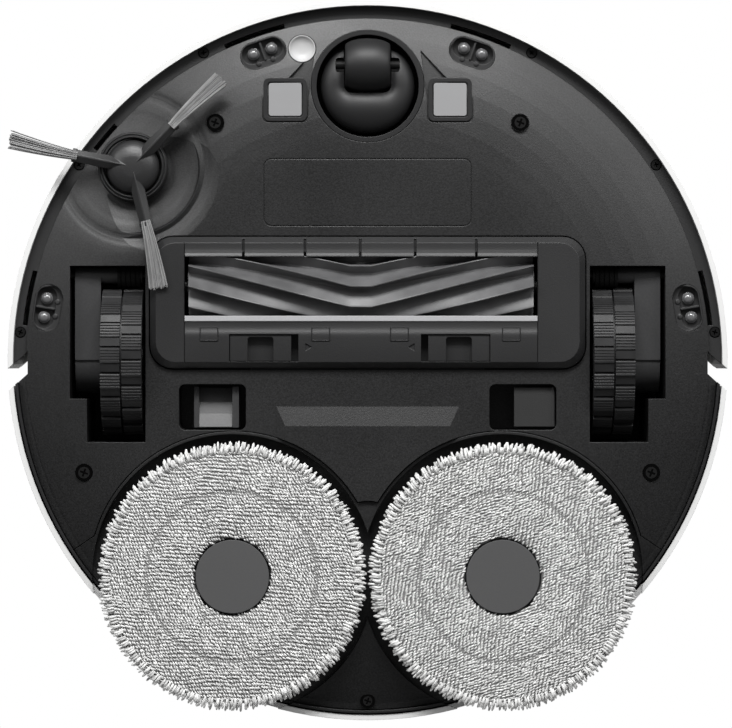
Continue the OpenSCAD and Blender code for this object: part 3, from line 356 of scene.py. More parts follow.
# %% Finish of each CAD slot
FINISHES = {
    "chassis_plastic": moulded("belly_grain", (0.011, 0.011, 0.0113), 0.44, grain=1300, change=0.7,
                               reliefs=(dome_swell, dish_waves)),
    "frame_plastic": moulded("frame_black", (0.006, 0.006, 0.0065), 0.5),
    "white_shell": polished("white_gloss", (0.78, 0.78, 0.775), 0.26, 0.3),
    "bin_plastic": polished("smoked_bin", (0.09, 0.1, 0.11), 0.15),
    "filter_paper": moulded("filter_felt", (0.8, 0.8, 0.76), 0.9, 700, 0.0002),
    "turret_grey": moulded("turret_grey", (0.35, 0.35, 0.36), 0.35),
    "rail_plastic": moulded("rail_black", (0.02, 0.02, 0.0205), 0.55),
    "window_black": polished("window_black", (0.01, 0.01, 0.012), 0.06, 0.5),
    "dark_screw": moulded("black_zinc", (0.008, 0.008, 0.008), 0.5, specular=0.15, edge=0.0001),
    "button_grey": moulded("button_grey", (0.3, 0.3, 0.31), 0.4),
    "brush_grey": moulded("brush_grey", (0.022, 0.022, 0.0225), 0.42),
    "bristle": rubber("nylon_grey", (0.3, 0.3, 0.3), 0.35),
    "steel": brushed("bright_steel", (0.55, 0.55, 0.56), 0.3),
    "fin_rubber": rubber("fin_rubber", (0.11, 0.11, 0.112), 0.4),
    "guard_plastic": moulded("guard_grain", (0.016, 0.016, 0.0165), 0.45, change=0.2, reliefs=(guard_slopes,)),
    "bar_metal": moulded("bar_satin", (0.42, 0.42, 0.43), 0.35, 1200, 0.00002, 0.05),
    "caster_gloss": polished("caster_gloss", (0.011, 0.011, 0.0115), 0.5),
    "tyre_rubber": rubber("tyre_rubber", (0.016, 0.016, 0.0165), 0.5),
    "arm_plastic": moulded("arm_grey", (0.04, 0.04, 0.041), 0.4, 900, 0.00002),
    "mop_yarn": moulded("mop_backing", (0.4, 0.4, 0.4), 0.9, 600, 0.0003),
    "mop_hub_grey": moulded("hub_grey", (0.075, 0.075, 0.076), 0.6, 1500, 0.00001, 0.04),
    "lens_clear": polished("lens_clear", (0.13, 0.13, 0.133), 0.14, 1.0),
    "sensor_white": polished("sensor_white", (0.5, 0.5, 0.5), 0.4),
    "contact_metal": polished("contact_nickel", (0.3, 0.3, 0.305), 0.4),
    "flap_plastic": moulded("flap_grey", (0.022, 0.022, 0.022), 0.5),
    "battery_wrap": polished("battery_film", (0.05, 0.08, 0.16), 0.3),
    "board_green": polished("solder_mask", (0.02, 0.12, 0.05), 0.3),
    "tank_plastic": polished("tank_smoked", (0.3, 0.34, 0.38), 0.15),
}
# Matte near-black paint for painted shadow: it fills screw holes and rail slots where only shade would be.
SHADOW_BLACK = moulded("painted_shadow_black", (0.001, 0.001, 0.001), 0.9, specular=0.05, edge=0)
for part in frame["record"]["subparts"]:
    mesh = frame["nodes"][part["node"]].data
    mesh.materials.clear()
    mesh.materials.append(FINISHES[part["material_slot"]])
print("finishes:", len(FINISHES))

# %% [markdown]
# ## A ring of copies
# Tread blocks, rim tufts and brush arms are all one shape repeated round an axis. One Geometry Nodes tree does
# that job: it makes points at the origin and turns each copy by its index, so the count and the phase stay
# editable numbers. The result is made real and becomes a plain mesh, because instances don't leave Blender.

# %% Geometry Nodes helpers
def node_tree(name, sockets):
    tree = bpy.data.node_groups.new(name, "GeometryNodeTree")
    tree.interface.new_socket("Geometry", in_out="INPUT", socket_type="NodeSocketGeometry")
    ids = {}
    for label, kind, value in sockets:
        socket = tree.interface.new_socket(label, in_out="INPUT", socket_type="NodeSocket" + kind)
        if value is not None:
            socket.default_value = value
        ids[label] = socket.identifier
    tree.interface.new_socket("Geometry", in_out="OUTPUT", socket_type="NodeSocketGeometry")
    start, end = tree.nodes.new("NodeGroupInput"), tree.nodes.new("NodeGroupOutput")
    return tree, ids, start, end


def wire(tree, *pairs):
    """Links each source socket to its target."""
    for source, target in pairs:
        tree.links.new(source, target)


def add(tree, kind, **values):
    node = tree.nodes.new(kind)
    for key, value in values.items():
        setattr(node, key, value)
    return node


def finish_tree(tree, start, end, geometry):
    real, paint = add(tree, "GeometryNodeRealizeInstances"), add(tree, "GeometryNodeSetMaterial")
    wire(tree, (geometry, real.inputs[0]), (real.outputs[0], paint.inputs["Geometry"]),
         (start.outputs["Finish"], paint.inputs["Material"]), (paint.outputs[0], end.inputs[0]))


def applied(piece):
    """Plain mesh of a piece with its modifiers worked in; the modifiers are taken off."""
    bpy.context.view_layer.update()
    plain = bpy.data.meshes.new_from_object(piece.evaluated_get(bpy.context.evaluated_depsgraph_get()))
    piece.modifiers.clear()
    return plain


def grow(name, base, tree, ids, **values):
    """Runs a tree on a base mesh and returns the result as a plain mesh."""
    holder = add_object(name + "_seed", base)
    modifier = holder.modifiers.new("grow", "NODES")
    modifier.node_group = tree
    for label, value in values.items():
        modifier[ids[label]] = value
    solid = applied(holder)
    solid.name = name
    bpy.data.objects.remove(holder)
    return solid


# %% Tree: copies round an axis
ring_tree, ring_ids, start, end = node_tree("ring_of_copies", [
    ("Count", "Int", 12), ("Phase", "Float", 0.0), ("Axis", "Vector", (0, 0, 1)), ("Finish", "Material", None)])
points = add(ring_tree, "GeometryNodePoints")
copies = add(ring_tree, "GeometryNodeInstanceOnPoints")
index = add(ring_tree, "GeometryNodeInputIndex")
step = add(ring_tree, "ShaderNodeMath", operation="DIVIDE")
turn = add(ring_tree, "ShaderNodeMath", operation="MULTIPLY_ADD")
about = add(ring_tree, "ShaderNodeVectorMath", operation="SCALE")
step.inputs[0].default_value = 2 * math.pi
wire(ring_tree, (start.outputs["Count"], points.inputs["Count"]), (start.outputs["Count"], step.inputs[1]),
     (index.outputs[0], turn.inputs[0]), (step.outputs[0], turn.inputs[1]),
     (start.outputs["Phase"], turn.inputs[2]), (start.outputs["Axis"], about.inputs[0]),
     (turn.outputs[0], about.inputs["Scale"]), (points.outputs[0], copies.inputs["Points"]),
     (start.outputs["Geometry"], copies.inputs["Instance"]), (about.outputs[0], copies.inputs["Rotation"]))
finish_tree(ring_tree, start, end, copies.outputs[0])

# %% Mesh helpers
def upright(a, b, h):
    return (a, b, h)


def along_x(a, b, h):
    return (h, a, b)


def mm(*points):
    """Points given in millimetres, turned into metres."""
    return [tuple(value * MM for value in point) for point in points]


def solid_mesh(name, points, faces):
    mesh = bpy.data.meshes.new(name)
    mesh.from_pydata(points, [], faces)
    outward(mesh)
    return mesh


def quads(rows, row):
    """Quads between closed rows of points that follow one another."""
    return [(j * row + k, j * row + (k + 1) % row, (j + 1) * row + (k + 1) % row, (j + 1) * row + k)
            for j in range(rows - 1) for k in range(row)]


def prism(name, outline, low, high, to_place=upright):
    """Closed prism of a 2D outline between two heights; to_place turns (u, v, w) into a point."""
    count = len(outline)
    points = [to_place(u, v, w) for w in (low, high) for u, v in outline]
    faces = [tuple(range(count)), tuple(range(2 * count - 1, count - 1, -1))]
    faces += [(i, i + count, (i + 1) % count + count, (i + 1) % count) for i in range(count)]
    return solid_mesh(name, points, faces)


def outward(mesh, merge=1e-6):
    work = bmesh.new()
    work.from_mesh(mesh)
    bmesh.ops.remove_doubles(work, verts=work.verts, dist=merge)
    bmesh.ops.recalc_face_normals(work, faces=work.faces)
    work.to_mesh(mesh)
    work.free()


def join(name, meshes, paint):
    work = bmesh.new()
    for mesh in meshes:
        work.from_mesh(mesh)
    whole = bpy.data.meshes.new(name)
    work.to_mesh(whole)
    work.free()
    whole.materials.append(paint)
    for face in whole.polygons:
        face.material_index = 0
    return whole


def smooth(mesh, angle=40):
    mesh.shade_smooth()
    mesh.set_sharp_from_angle(angle=math.radians(angle))


def revolve(name, profile, steps, to_place=upright):
    """Closed ring or dome of a profile of (radius, height) points turned about an axis."""
    rings = [[to_place(r * math.cos(2 * math.pi * k / steps), r * math.sin(2 * math.pi * k / steps), h)
              for k in range(steps)] for r, h in profile]
    count = len(profile)
    faces = []
    for j in range(count):
        a, b = j * steps, ((j + 1) % count) * steps
        if j == count - 1 and profile[0][0] < 1e-7 and profile[-1][0] < 1e-7:
            continue
        faces += [(a + k, a + (k + 1) % steps, b + (k + 1) % steps, b + k) for k in range(steps)]
    return solid_mesh(name, [p for ring in rings for p in ring], faces)


# %% [markdown]
# ## Tyres
# Each tyre carries two staggered rows of rubber blocks, and each block has a smooth toe and five fine ribs that
# bite into carpet. The block is drawn once as an outline in arc length and height, extruded across the row, and
# the ring tree sets it round the wheel. Under the blocks lies a plain rubber band.

# %% Tyres
TREAD_BLOCKS = 18
TREAD = 2.2 * MM
RIBS = 5


def block_outline(radius):
    length = 2 * math.pi * radius / TREAD_BLOCKS * 0.93
    rib = length * 0.62 / RIBS
    points = [(-length / 2, -1.6 * MM), (-length / 2 + 0.2 * MM, -1.1 * MM), (-length / 2 + length * 0.34, -0.7 * MM)]
    for k in range(RIBS):
        s = -length / 2 + length * 0.36 + k * rib
        points += [(s + 0.12 * rib, -0.35 * MM), (s + 0.3 * rib, 0), (s + 0.85 * rib, 0)]
    points += [(length / 2, -0.3 * MM), (length / 2, -TREAD - 0.4 * MM), (-length / 2, -TREAD - 0.4 * MM)]
    return points


def make_tyre(side):
    low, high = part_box(side + "_tyre")
    radius, centre_z = (high[2] - low[2]) / 2, (high[2] + low[2]) / 2
    row = (high[0] - low[0] - 0.6 * MM) / 2
    on_rim = lambda s, h, x: (x, (radius + h) * math.sin(s / radius), (radius + h) * math.cos(s / radius))
    rows = []
    for k, x in enumerate((low[0], high[0] - row)):
        block = prism("block", block_outline(radius), x + 0.15 * MM, x + row - 0.15 * MM, on_rim)
        rows.append(grow("row", block, ring_tree, ring_ids, Count=TREAD_BLOCKS, Phase=k * math.pi / TREAD_BLOCKS,
                         Axis=(1, 0, 0), Finish=FINISHES["tyre_rubber"]))
    inner = (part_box(side + "_wheel_hub")[1][2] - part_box(side + "_wheel_hub")[0][2]) / 2 + 0.02 * MM
    band = revolve("band", [(inner, low[0]), (radius - TREAD, low[0]), (radius - TREAD - 0.8 * MM, low[0] + row),
                            (radius - TREAD - 0.8 * MM, high[0] - row), (radius - TREAD, high[0]), (inner, high[0])],
                   96, along_x)
    tyre_mesh = join(side + "_tread", rows + [band], FINISHES["tyre_rubber"])
    tyre_mesh.transform(Matrix.Translation((0, 0, centre_z)))
    smooth(tyre_mesh, 25)
    tyre = add_object(side + "_tread", tyre_mesh)
    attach(tyre, side + "_wheel")
    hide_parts(side + "_tyre")
    return tyre


for side in ("left", "right"):
    print(side, "tyre faces:", len(make_tyre(side).data.polygons))

# %% [markdown]
# ## The roller brush
# The rubber sleeve is a ratchet in section: each fin rises slowly, ends in a thin lip and drops away. Along the
# roller the section turns, so the fins form a chevron that sweeps dirt to the middle. The shape follows a rule,
# so it is one grid: a section radius for each angle, turned a little further at each station.

# %% Roller fins
FINS = 12
FIN_TWIST = math.radians(60)
low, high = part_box("brush_fins")
fin_top = (high[2] - low[2]) / 2
fin_root = (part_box("brush_core")[1][2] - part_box("brush_core")[0][2]) / 2 + 1 * MM
roller_centre = Vector(((low[0] + high[0]) / 2, (low[1] + high[1]) / 2, (low[2] + high[2]) / 2))
half, flat = (high[0] - low[0]) / 2, 5 * MM
RISE = [(0.0, 1.0), (0.035, 0.98), (0.07, 0.42), (0.12, 0.14), (0.22, 0.08), (0.36, 0.14), (0.52, 0.28), (0.68, 0.47),
        (0.82, 0.68), (0.93, 0.88), (0.97, 0.96)]


def fin_station(x):
    turn = FIN_TWIST * max(0.0, abs(x) - flat) / (half - flat)
    ring = []
    for k in range(FINS):
        for part, rise in RISE:
            angle = turn - (k + part) * 2 * math.pi / FINS
            r = fin_root + (fin_top - fin_root) * rise
            ring.append((x, -r * math.sin(angle), -r * math.cos(angle)))
    return ring


stations = [-half + k * (half - flat) / 26 for k in range(27)]
stations += [flat * (k - 3) / 3 for k in range(1, 6)]
stations += [-x for x in reversed(stations[:27])]
rings = [fin_station(x) for x in stations]
count = len(rings[0])
ends = [tuple(range(count)), tuple(range(count * len(rings) - 1, count * (len(rings) - 1) - 1, -1))]
fin_mesh = solid_mesh("roller_fins", [p for ring in rings for p in ring], ends + quads(len(rings), count))
fin_mesh.transform(Matrix.Translation(roller_centre))
fin_mesh.materials.append(FINISHES["fin_rubber"])
smooth(fin_mesh, 35)
fins = add_object("roller_fins", fin_mesh)
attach(fins, "main_brush")
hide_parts("brush_fins")
print("roller faces:", len(fin_mesh.polygons))

# %% [markdown]
# ## The side brush
# Three soft rubber arms grow out of a low domed hub, and each holds a flat tuft of nylon. The hub is turned from a
# profile, the arms are tapered sleeves, and a tuft is a few dozen strands that leave the sleeve together and fan
# out. A tree scatters the strands with a fixed seed.

# %% Side brush hub and arms
ARMS = [math.radians(a) for a in (191, 313.7, 76.3)]
dome = revolve("side_dome", mm((0, 4), (4.5, 4.02), (5.5, 4.2), (9, 5.2), (11.6, 6.8), (12.7, 8.4), (12.9, 10),
                               (12.9, 11.5), (0, 11.5)), 72)


def arm_mesh():
    """Sleeve with a ridge along its middle, a point at the hub and a collar at its end."""
    sections = [(3, 0.2, 3.9), (12, 3.3, 3.5), (27.6, 2.9, 3.9), (27.7, 3.4, 3.6), (29.6, 3.3, 3.7)]
    points = []
    for x, wide, ridge in sections:
        outline = ((-1, 7.6), (-1, 5.4), (-0.12, ridge), (0.12, ridge), (1, 5.4), (1, 7.6))
        points += [(x * MM, y * wide * MM, z * MM) for y, z in outline]
    faces = quads(len(sections), 6) + [tuple(range(6)), tuple(range(len(points) - 1, len(points) - 7, -1))]
    return solid_mesh("arm", points, faces)


arms = []
for angle in ARMS:
    arm = arm_mesh()
    arm.transform(Matrix.Rotation(angle, 4, "Z"))
    arms.append(arm)
hub_mesh = join("side_hub", [dome] + arms, FINISHES["brush_grey"])
hub_mesh.transform(Matrix.Translation(SIDE_CENTRE))
smooth(hub_mesh, 28)
side_hub = add_object("side_hub", hub_mesh)
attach(side_hub, "side_brush")
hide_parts("side_brush_hub")


def fitted(name, mesh, body, slot, stands_for=None, paint=None):
    """Adds a finished mesh to a body, in the finish of a slot or in another paint given in its place, such as the
    near-black of painted shadow.
    """
    mesh.materials.clear()
    mesh.materials.append(paint or FINISHES[slot])
    piece = add_object(name, mesh)
    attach(piece, body)
    if stands_for:
        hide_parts(stands_for)
    return piece


collar = revolve("collar", mm((14, 14), (14, 8.6), (14.5, 8), (15.1, 8.6), (15.4, 9.4), (15.9, 8.8), (16.6, 9.4),
                              (16.9, 10.4), (16.9, 14)), 72)
collar.transform(Matrix.Translation(SIDE_CENTRE))
smooth(collar, 50)
fitted("side_brush_collar", collar, "root", "brush_grey")

# %% Tree: a fanned tuft
tuft_tree, tuft_ids, start, end = node_tree("fanned_tuft", [
    ("Strands", "Int", 60), ("Fan", "Float", 0.1), ("Width", "Float", 0.004), ("Seed", "Int", 3),
    ("Finish", "Material", None)])
points = add(tuft_tree, "GeometryNodePoints")
copies = add(tuft_tree, "GeometryNodeInstanceOnPoints")
across = add(tuft_tree, "FunctionNodeRandomValue", data_type="FLOAT")
lift = add(tuft_tree, "FunctionNodeRandomValue", data_type="FLOAT")
length = add(tuft_tree, "FunctionNodeRandomValue", data_type="FLOAT")
offset = add(tuft_tree, "ShaderNodeCombineXYZ")
place = add(tuft_tree, "ShaderNodeMath", operation="MULTIPLY")
angles = add(tuft_tree, "ShaderNodeCombineXYZ")
fan = add(tuft_tree, "ShaderNodeMath", operation="MULTIPLY")
size = add(tuft_tree, "ShaderNodeCombineXYZ")
across.inputs["Min"].default_value, across.inputs["Max"].default_value = -1.0, 1.0
lift.inputs["Min"].default_value, lift.inputs["Max"].default_value = -0.0009, 0.0009
length.inputs["Min"].default_value, length.inputs["Max"].default_value = 0.95, 1.0
for k, node in enumerate((across, lift, length)):
    shift = add(tuft_tree, "ShaderNodeMath", operation="ADD")
    shift.inputs[1].default_value = k
    wire(tuft_tree, (start.outputs["Seed"], shift.inputs[0]), (shift.outputs[0], node.inputs["Seed"]))
size.inputs["Y"].default_value = size.inputs["Z"].default_value = 1.0
random_out = lambda node: next(o for o in node.outputs if o.enabled)
wire(tuft_tree, (start.outputs["Strands"], points.inputs["Count"]), (random_out(across), place.inputs[0]),
     (start.outputs["Width"], place.inputs[1]), (place.outputs[0], offset.inputs["Y"]),
     (random_out(lift), offset.inputs["Z"]), (offset.outputs[0], points.inputs["Position"]),
     (random_out(across), fan.inputs[0]), (start.outputs["Fan"], fan.inputs[1]),
     (fan.outputs[0], angles.inputs["Z"]), (random_out(length), size.inputs["X"]),
     (points.outputs[0], copies.inputs["Points"]), (start.outputs["Geometry"], copies.inputs["Instance"]),
     (angles.outputs[0], copies.inputs["Rotation"]), (size.outputs[0], copies.inputs["Scale"]))
finish_tree(tuft_tree, start, end, copies.outputs[0])

# %% Bristles
STRAND_R = 0.27 * MM
TUFT_START, TUFT_END = 27 * MM, 61 * MM
TUFT_LENGTH = TUFT_END - TUFT_START
SIDE_BEND, DROOP = 1.6 * MM, 0.6 * MM
strand_points = [(s * TUFT_LENGTH, STRAND_R * math.cos(a) + SIDE_BEND * s * s, STRAND_R * math.sin(a) - DROOP * s)
                 for s in (j / 5 for j in range(6)) for a in (math.pi * k / 2 for k in range(4))]
strand = solid_mesh("strand", strand_points, quads(6, 4) + [(0, 1, 2, 3), (23, 22, 21, 20)])
tufts = []
for k, angle in enumerate(ARMS):
    tuft = grow("tuft", strand.copy(), tuft_tree, tuft_ids, Strands=38, Fan=0.075, Width=2.1 * MM, Seed=11 + 5 * k,
                Finish=FINISHES["bristle"])
    tuft.transform(Matrix.Rotation(angle, 4, "Z") @ Matrix.Translation((TUFT_START, 0, 4.4 * MM)))
    tufts.append(tuft)
bristle_mesh = join("nylon_tufts", tufts, FINISHES["bristle"])
bristle_mesh.transform(Matrix.Translation(SIDE_CENTRE))
bristles = add_object("nylon_tufts", bristle_mesh)
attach(bristles, "side_brush")
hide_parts("side_brush_bristles")
print("strand faces:", len(bristle_mesh.polygons))

# %% [markdown]
# ## The caster
# The swivel is a smooth dome with a soft collar that sinks towards the roller, so its flanks catch the light. Its
# height follows a rule, so it is a polar grid; the roller's pocket is then cut out with a boolean. The roller is
# barrel-shaped, which lets it turn on the spot without scuffing.

# %% Caster
CASTER = Vector((0, -133 * MM, 0))
ROLLER = Vector((0, -143.2 * MM, 13 * MM))
DOME_R = 22.8 * MM


def pocket_distance(x, y):
    """Distance outside the roller's pocket, a rounded rectangle."""
    dx, dy = abs(x) - 7.7 * MM, abs(y - ROLLER.y) - 9.8 * MM
    return math.hypot(max(dx, 0), max(dy, 0)) - 3.8 * MM


def dome_height(r, angle):
    x, y = CASTER.x + r * math.cos(angle), CASTER.y + r * math.sin(angle)
    bowl = 5.4 * MM + 11 * MM * (1 - math.sqrt(max(0.0, 1 - (r / DOME_R) ** 2)))
    return bowl + 5 * MM * math.exp(-max(0.0, pocket_distance(x, y)) / (5.5 * MM))


RINGS, SPOKES = 40, 96
turns = [2 * math.pi * k / SPOKES for k in range(SPOKES)]
points = [(CASTER.x, CASTER.y, dome_height(0, 0))]
for j in range(1, RINGS + 1):
    r = DOME_R * math.sin(math.pi / 2 * j / RINGS)
    points += [(CASTER.x + r * math.cos(a), CASTER.y + r * math.sin(a), dome_height(r, a)) for a in turns]
points += [(CASTER.x + DOME_R * math.cos(a), CASTER.y + DOME_R * math.sin(a), 36 * MM) for a in turns]
ring_start = lambda j: 1 + (j - 1) * SPOKES
faces = [(0, ring_start(1) + k, ring_start(1) + (k + 1) % SPOKES) for k in range(SPOKES)]
for j in range(1, RINGS + 1):
    here, beyond = ring_start(j), ring_start(j + 1)
    faces += [(here + k, beyond + k, beyond + (k + 1) % SPOKES, here + (k + 1) % SPOKES) for k in range(SPOKES)]
faces.append(tuple(ring_start(RINGS + 1) + k for k in range(SPOKES)))
dome_mesh = solid_mesh("caster_dome", points, faces)


def rounded_outline(half_x, half_y, r, steps=6):
    corners = ((half_x - r, half_y - r, 0), (r - half_x, half_y - r, 90), (r - half_x, r - half_y, 180),
               (half_x - r, r - half_y, 270))
    return [(x + r * math.cos(math.radians(t + 90 * k / steps)), y + r * math.sin(math.radians(t + 90 * k / steps)))
            for x, y, t in corners for k in range(steps + 1)]


def plate(name, centre, half_x, half_y, r, low, high, turn=0.0):
    mesh = prism(name, rounded_outline(half_x, half_y, r), low, high)
    mesh.transform(Matrix.Translation((centre[0], centre[1], 0)) @ Matrix.Rotation(turn, 4, "Z"))
    return mesh


def cut(mesh, cutters):
    """Takes the cutters out of a mesh and returns a plain mesh."""
    holder = add_object("cut_holder", mesh)
    tools = [add_object("cutter", cutter) for cutter in cutters]
    for tool in tools:
        modifier = holder.modifiers.new("cut", "BOOLEAN")
        modifier.operation = "DIFFERENCE"
        modifier.solver = "EXACT"
        modifier.object = tool
    result = applied(holder)
    for piece in [holder] + tools:
        bpy.data.objects.remove(piece)
    return result


pocket = plate("pocket", (0, ROLLER.y), 11.5 * MM, 13.6 * MM, 3.8 * MM, -1 * MM, 28 * MM)
clips = plate("clips", (0, ROLLER.y), 15.4 * MM, 3.6 * MM, 1.2 * MM, -1 * MM, 19 * MM)
caster_mesh = cut(dome_mesh, [pocket, clips])
smooth(caster_mesh, 35)
fitted("caster_swivel_dome", caster_mesh, "caster_swivel", "caster_gloss", "caster_fork")
front_half = [(9.6, -11), (10.3, -10.7), (10.9, -9.8), (11.9, -7.7), (12.65, -4.4)]
back_half = [(r, -x) for r, x in reversed(front_half)]
barrel = mm((1.9, -11), *front_half, (13, 0), *back_half, (1.9, 11))
roller_mesh = revolve("caster_barrel", barrel, 72, along_x)
roller_mesh.transform(Matrix.Translation(ROLLER))
smooth(roller_mesh, 40)
fitted("caster_barrel", roller_mesh, "caster_roller", "caster_gloss", "caster_wheel")
print("caster faces:", len(caster_mesh.polygons) + len(roller_mesh.polygons))

# %% [markdown]
# ## Sensors, contacts and screws
# These small parts are drawn once round their own origin and placed by angle and radius on the domed belly. The
# cliff sensors look through two lenses in a deep cup; the carpet sensor is a shallow white dish.

# %% Places on the belly
DOME_START, RIM_R, BELLY_Z, DOME_RISE = 110.3 * MM, 166.3 * MM, 11 * MM, 7 * MM


def belly(r):
    return BELLY_Z + DOME_RISE * (max(0.0, r - DOME_START) / (RIM_R - DOME_START)) ** 2


def at_rim(angle, r):
    turn = math.radians(angle)
    return Matrix.Translation((r * math.sin(turn), -r * math.cos(turn), 0)) @ Matrix.Rotation(turn, 4, "Z")


# %% Carpet sensor
CARPET_R = 154.6 * MM
dish_mesh = revolve("carpet_dish", mm((0, 1.9), (2.2, 1.8), (4.2, 1.3), (5.6, 0.4), (6.1, -0.3), (6.5, -0.3),
                                      (6.5, 3.2), (0, 3.2)), 64)
dish_mesh.transform(Matrix.Translation((0, 0, belly(CARPET_R))))
dish_mesh.transform(at_rim(-11.9, CARPET_R))
smooth(dish_mesh, 40)
fitted("carpet_dish", dish_mesh, "root", "sensor_white", "carpet_sensor")

# %% Cliff sensors
CLIFF_ANGLES = (-80.75, -18.8, 18.8, 80.75)
CLIFF_R = 157.6 * MM
SPOT = mm((0, 1.4), (1, 1.6), (1.5, 2.2), (0, 2.2))
LENS_PROFILE = mm((0, 1), (1.1, 1.15), (2, 1.7), (2.5, 2.3), (2.55, 2.9), (2.9, 3), (3, 4.4), (0, 4.4))
cups, lenses = [], []
for angle in CLIFF_ANGLES:
    top, place = belly(CLIFF_R), at_rim(angle, CLIFF_R)
    cup = plate("cup", (0, 0), 11.4 * MM, 6.6 * MM, 6.5 * MM, top + 0.5 * MM, top + 7.5 * MM)
    well = plate("well", (0, -1.2 * MM), 10.2 * MM, 4.8 * MM, 4.7 * MM, -1 * MM, top + 4.2 * MM)
    slope = plate("slope", (0, 0.8 * MM), 10.8 * MM, 5.5 * MM, 5.4 * MM, -1 * MM, top + 1.9 * MM)
    cup = cut(cup, [well, slope])
    parts = [cup, plate("divider", (0, -1.2 * MM), 0.45 * MM, 4.6 * MM, 0.2 * MM, top + 1.2 * MM, top + 5 * MM)]
    for s in (-1, 1):
        spot = revolve("spot", SPOT, 24)
        spot.transform(Matrix.Translation((s * 3.6 * MM, 4.2 * MM, top)))
        parts.append(spot)
    sensor = join("sensor", parts, FINISHES["frame_plastic"])
    sensor.transform(place)
    cups.append(sensor)
    for s in (-1, 1):
        lens = revolve("lens", LENS_PROFILE, 36)
        lens.transform(place @ Matrix.Translation((s * 4.6 * MM, -1.2 * MM, top)))
        lenses.append(lens)
cliff_mesh = join("cliff_cups", cups, FINISHES["frame_plastic"])
lens_mesh = join("cliff_domes", lenses, FINISHES["lens_clear"])
smooth(cliff_mesh, 35)
smooth(lens_mesh, 35)
fitted("cliff_cups", cliff_mesh, "root", "frame_plastic", "cliff_sensors", paint=FINISHES["rail_plastic"])
fitted("cliff_domes", lens_mesh, "root", "lens_clear", "cliff_lenses")

# %% Contact frames
CONTACTS = ((-40 * MM, -126.4 * MM), (40 * MM, -126.4 * MM))
frame_parts = []
for x, y in CONTACTS:
    z = belly(132 * MM)
    rim = plate("rim", (x, y), 10.5 * MM, 10.5 * MM, 2.8 * MM, z - 0.2 * MM, z + 0.55 * MM)
    hole = plate("hole", (x, y), 8.5 * MM, 8.5 * MM, 1.4 * MM, z - 2 * MM, z + 2 * MM)
    frame_parts.append(cut(rim, [hole]))
fitted("contact_frames", join("contact_frames", frame_parts, FINISHES["frame_plastic"]), "root", "guard_plastic")

# %% Screws with their shadow gaps
SCREWS = [(-74, -115.1, 11, 3.6), (74, -115.1, 11, 3.6), (-137.7, 54.7, 13.9, 3.6), (137.7, 54.7, 13.9, 3.6),
          (0, 165.8, 17.3, 3.1)]
RAIL_SCREWS = (-85.4, -55.9, -28.1, 28.1, 55.9, 85.4)
RAIL_SCREW_R = 169.8 * MM
CROSS = (0.35, 0.35 + math.pi / 2)
head_parts, gap_parts = [], []
for x, y, z, r in SCREWS:
    at = (x * MM, y * MM)
    # Each screw sits on a near-black disc: painted shadow for the dark hole round its head. The cross slots are cut
    # right through the head, so this painted shadow also shows in the cross.
    gap_parts.append(plate("gap", at, (r + 0.5) * MM, (r + 0.5) * MM, (r + 0.49) * MM, (z - 0.12) * MM, (z + 0.3) * MM))
    head = plate("head", at, (r - 0.8) * MM, (r - 0.8) * MM, (r - 0.81) * MM, (z - 0.3) * MM, (z - 0.1) * MM)
    slots = [plate("slot", at, r * 0.55 * MM, r * 0.13 * MM, 0.1 * MM, (z - 1) * MM, (z + 1) * MM, turn)
             for turn in CROSS]
    head_parts.append(cut(head, slots))
fitted("screw_gaps", join("screw_gaps", gap_parts, SHADOW_BLACK), "root", "frame_plastic", paint=SHADOW_BLACK)
fitted("screw_heads", join("screw_heads", head_parts, FINISHES["dark_screw"]), "root", "dark_screw", "chassis_screws")
bumper_heads = []
for angle in RAIL_SCREWS:
    head = plate("head", (0, 0), 2.3 * MM, 2.3 * MM, 2.29 * MM, 21.5 * MM, 24 * MM)
    slots = [plate("slot", (0, 0), 1.3 * MM, 0.3 * MM, 0.1 * MM, 20 * MM, 21.9 * MM, turn) for turn in CROSS]
    head = cut(head, slots)
    head.transform(at_rim(angle, RAIL_SCREW_R))
    bumper_heads.append(head)
fitted("bumper_heads", join("bumper_heads", bumper_heads, FINISHES["dark_screw"]), "bumper", "dark_screw",
       "bumper_screws")

# %% Painted shadow in the bumper rail: black rings round the screw heads and black plates in the slots
head_gaps, rail_gaps = [], []
for angle in RAIL_SCREWS:
    gap = plate("gap", (0, 0), 2.75 * MM, 2.75 * MM, 2.74 * MM, 21.9 * MM, 23 * MM)
    gap.transform(at_rim(angle, RAIL_SCREW_R))
    head_gaps.append(gap)
# The rail slots are backed by near-black arcs: painted shadow where the slots open into the dark inside.
RAIL_SLOTS = ((14, 24.5), (-24.5, -14), (75, 84.2), (-84.2, -75), (-52.3, -47))
for first, last in RAIL_SLOTS:
    turns = [math.radians(first + (last - first) * k / 12) for k in range(13)]
    edges = ((164.6 * MM, turns), (168.2 * MM, reversed(turns)))
    arc = [(r * math.sin(t), -r * math.cos(t)) for r, row in edges for t in row]
    rail_gaps.append(prism("arc", arc, 24.4 * MM, 25 * MM))
fitted("head_gaps", join("head_gaps", head_gaps, SHADOW_BLACK), "bumper", "frame_plastic", paint=SHADOW_BLACK)
fitted("rail_gaps", join("rail_gaps", rail_gaps, SHADOW_BLACK), "root", "frame_plastic", paint=SHADOW_BLACK)

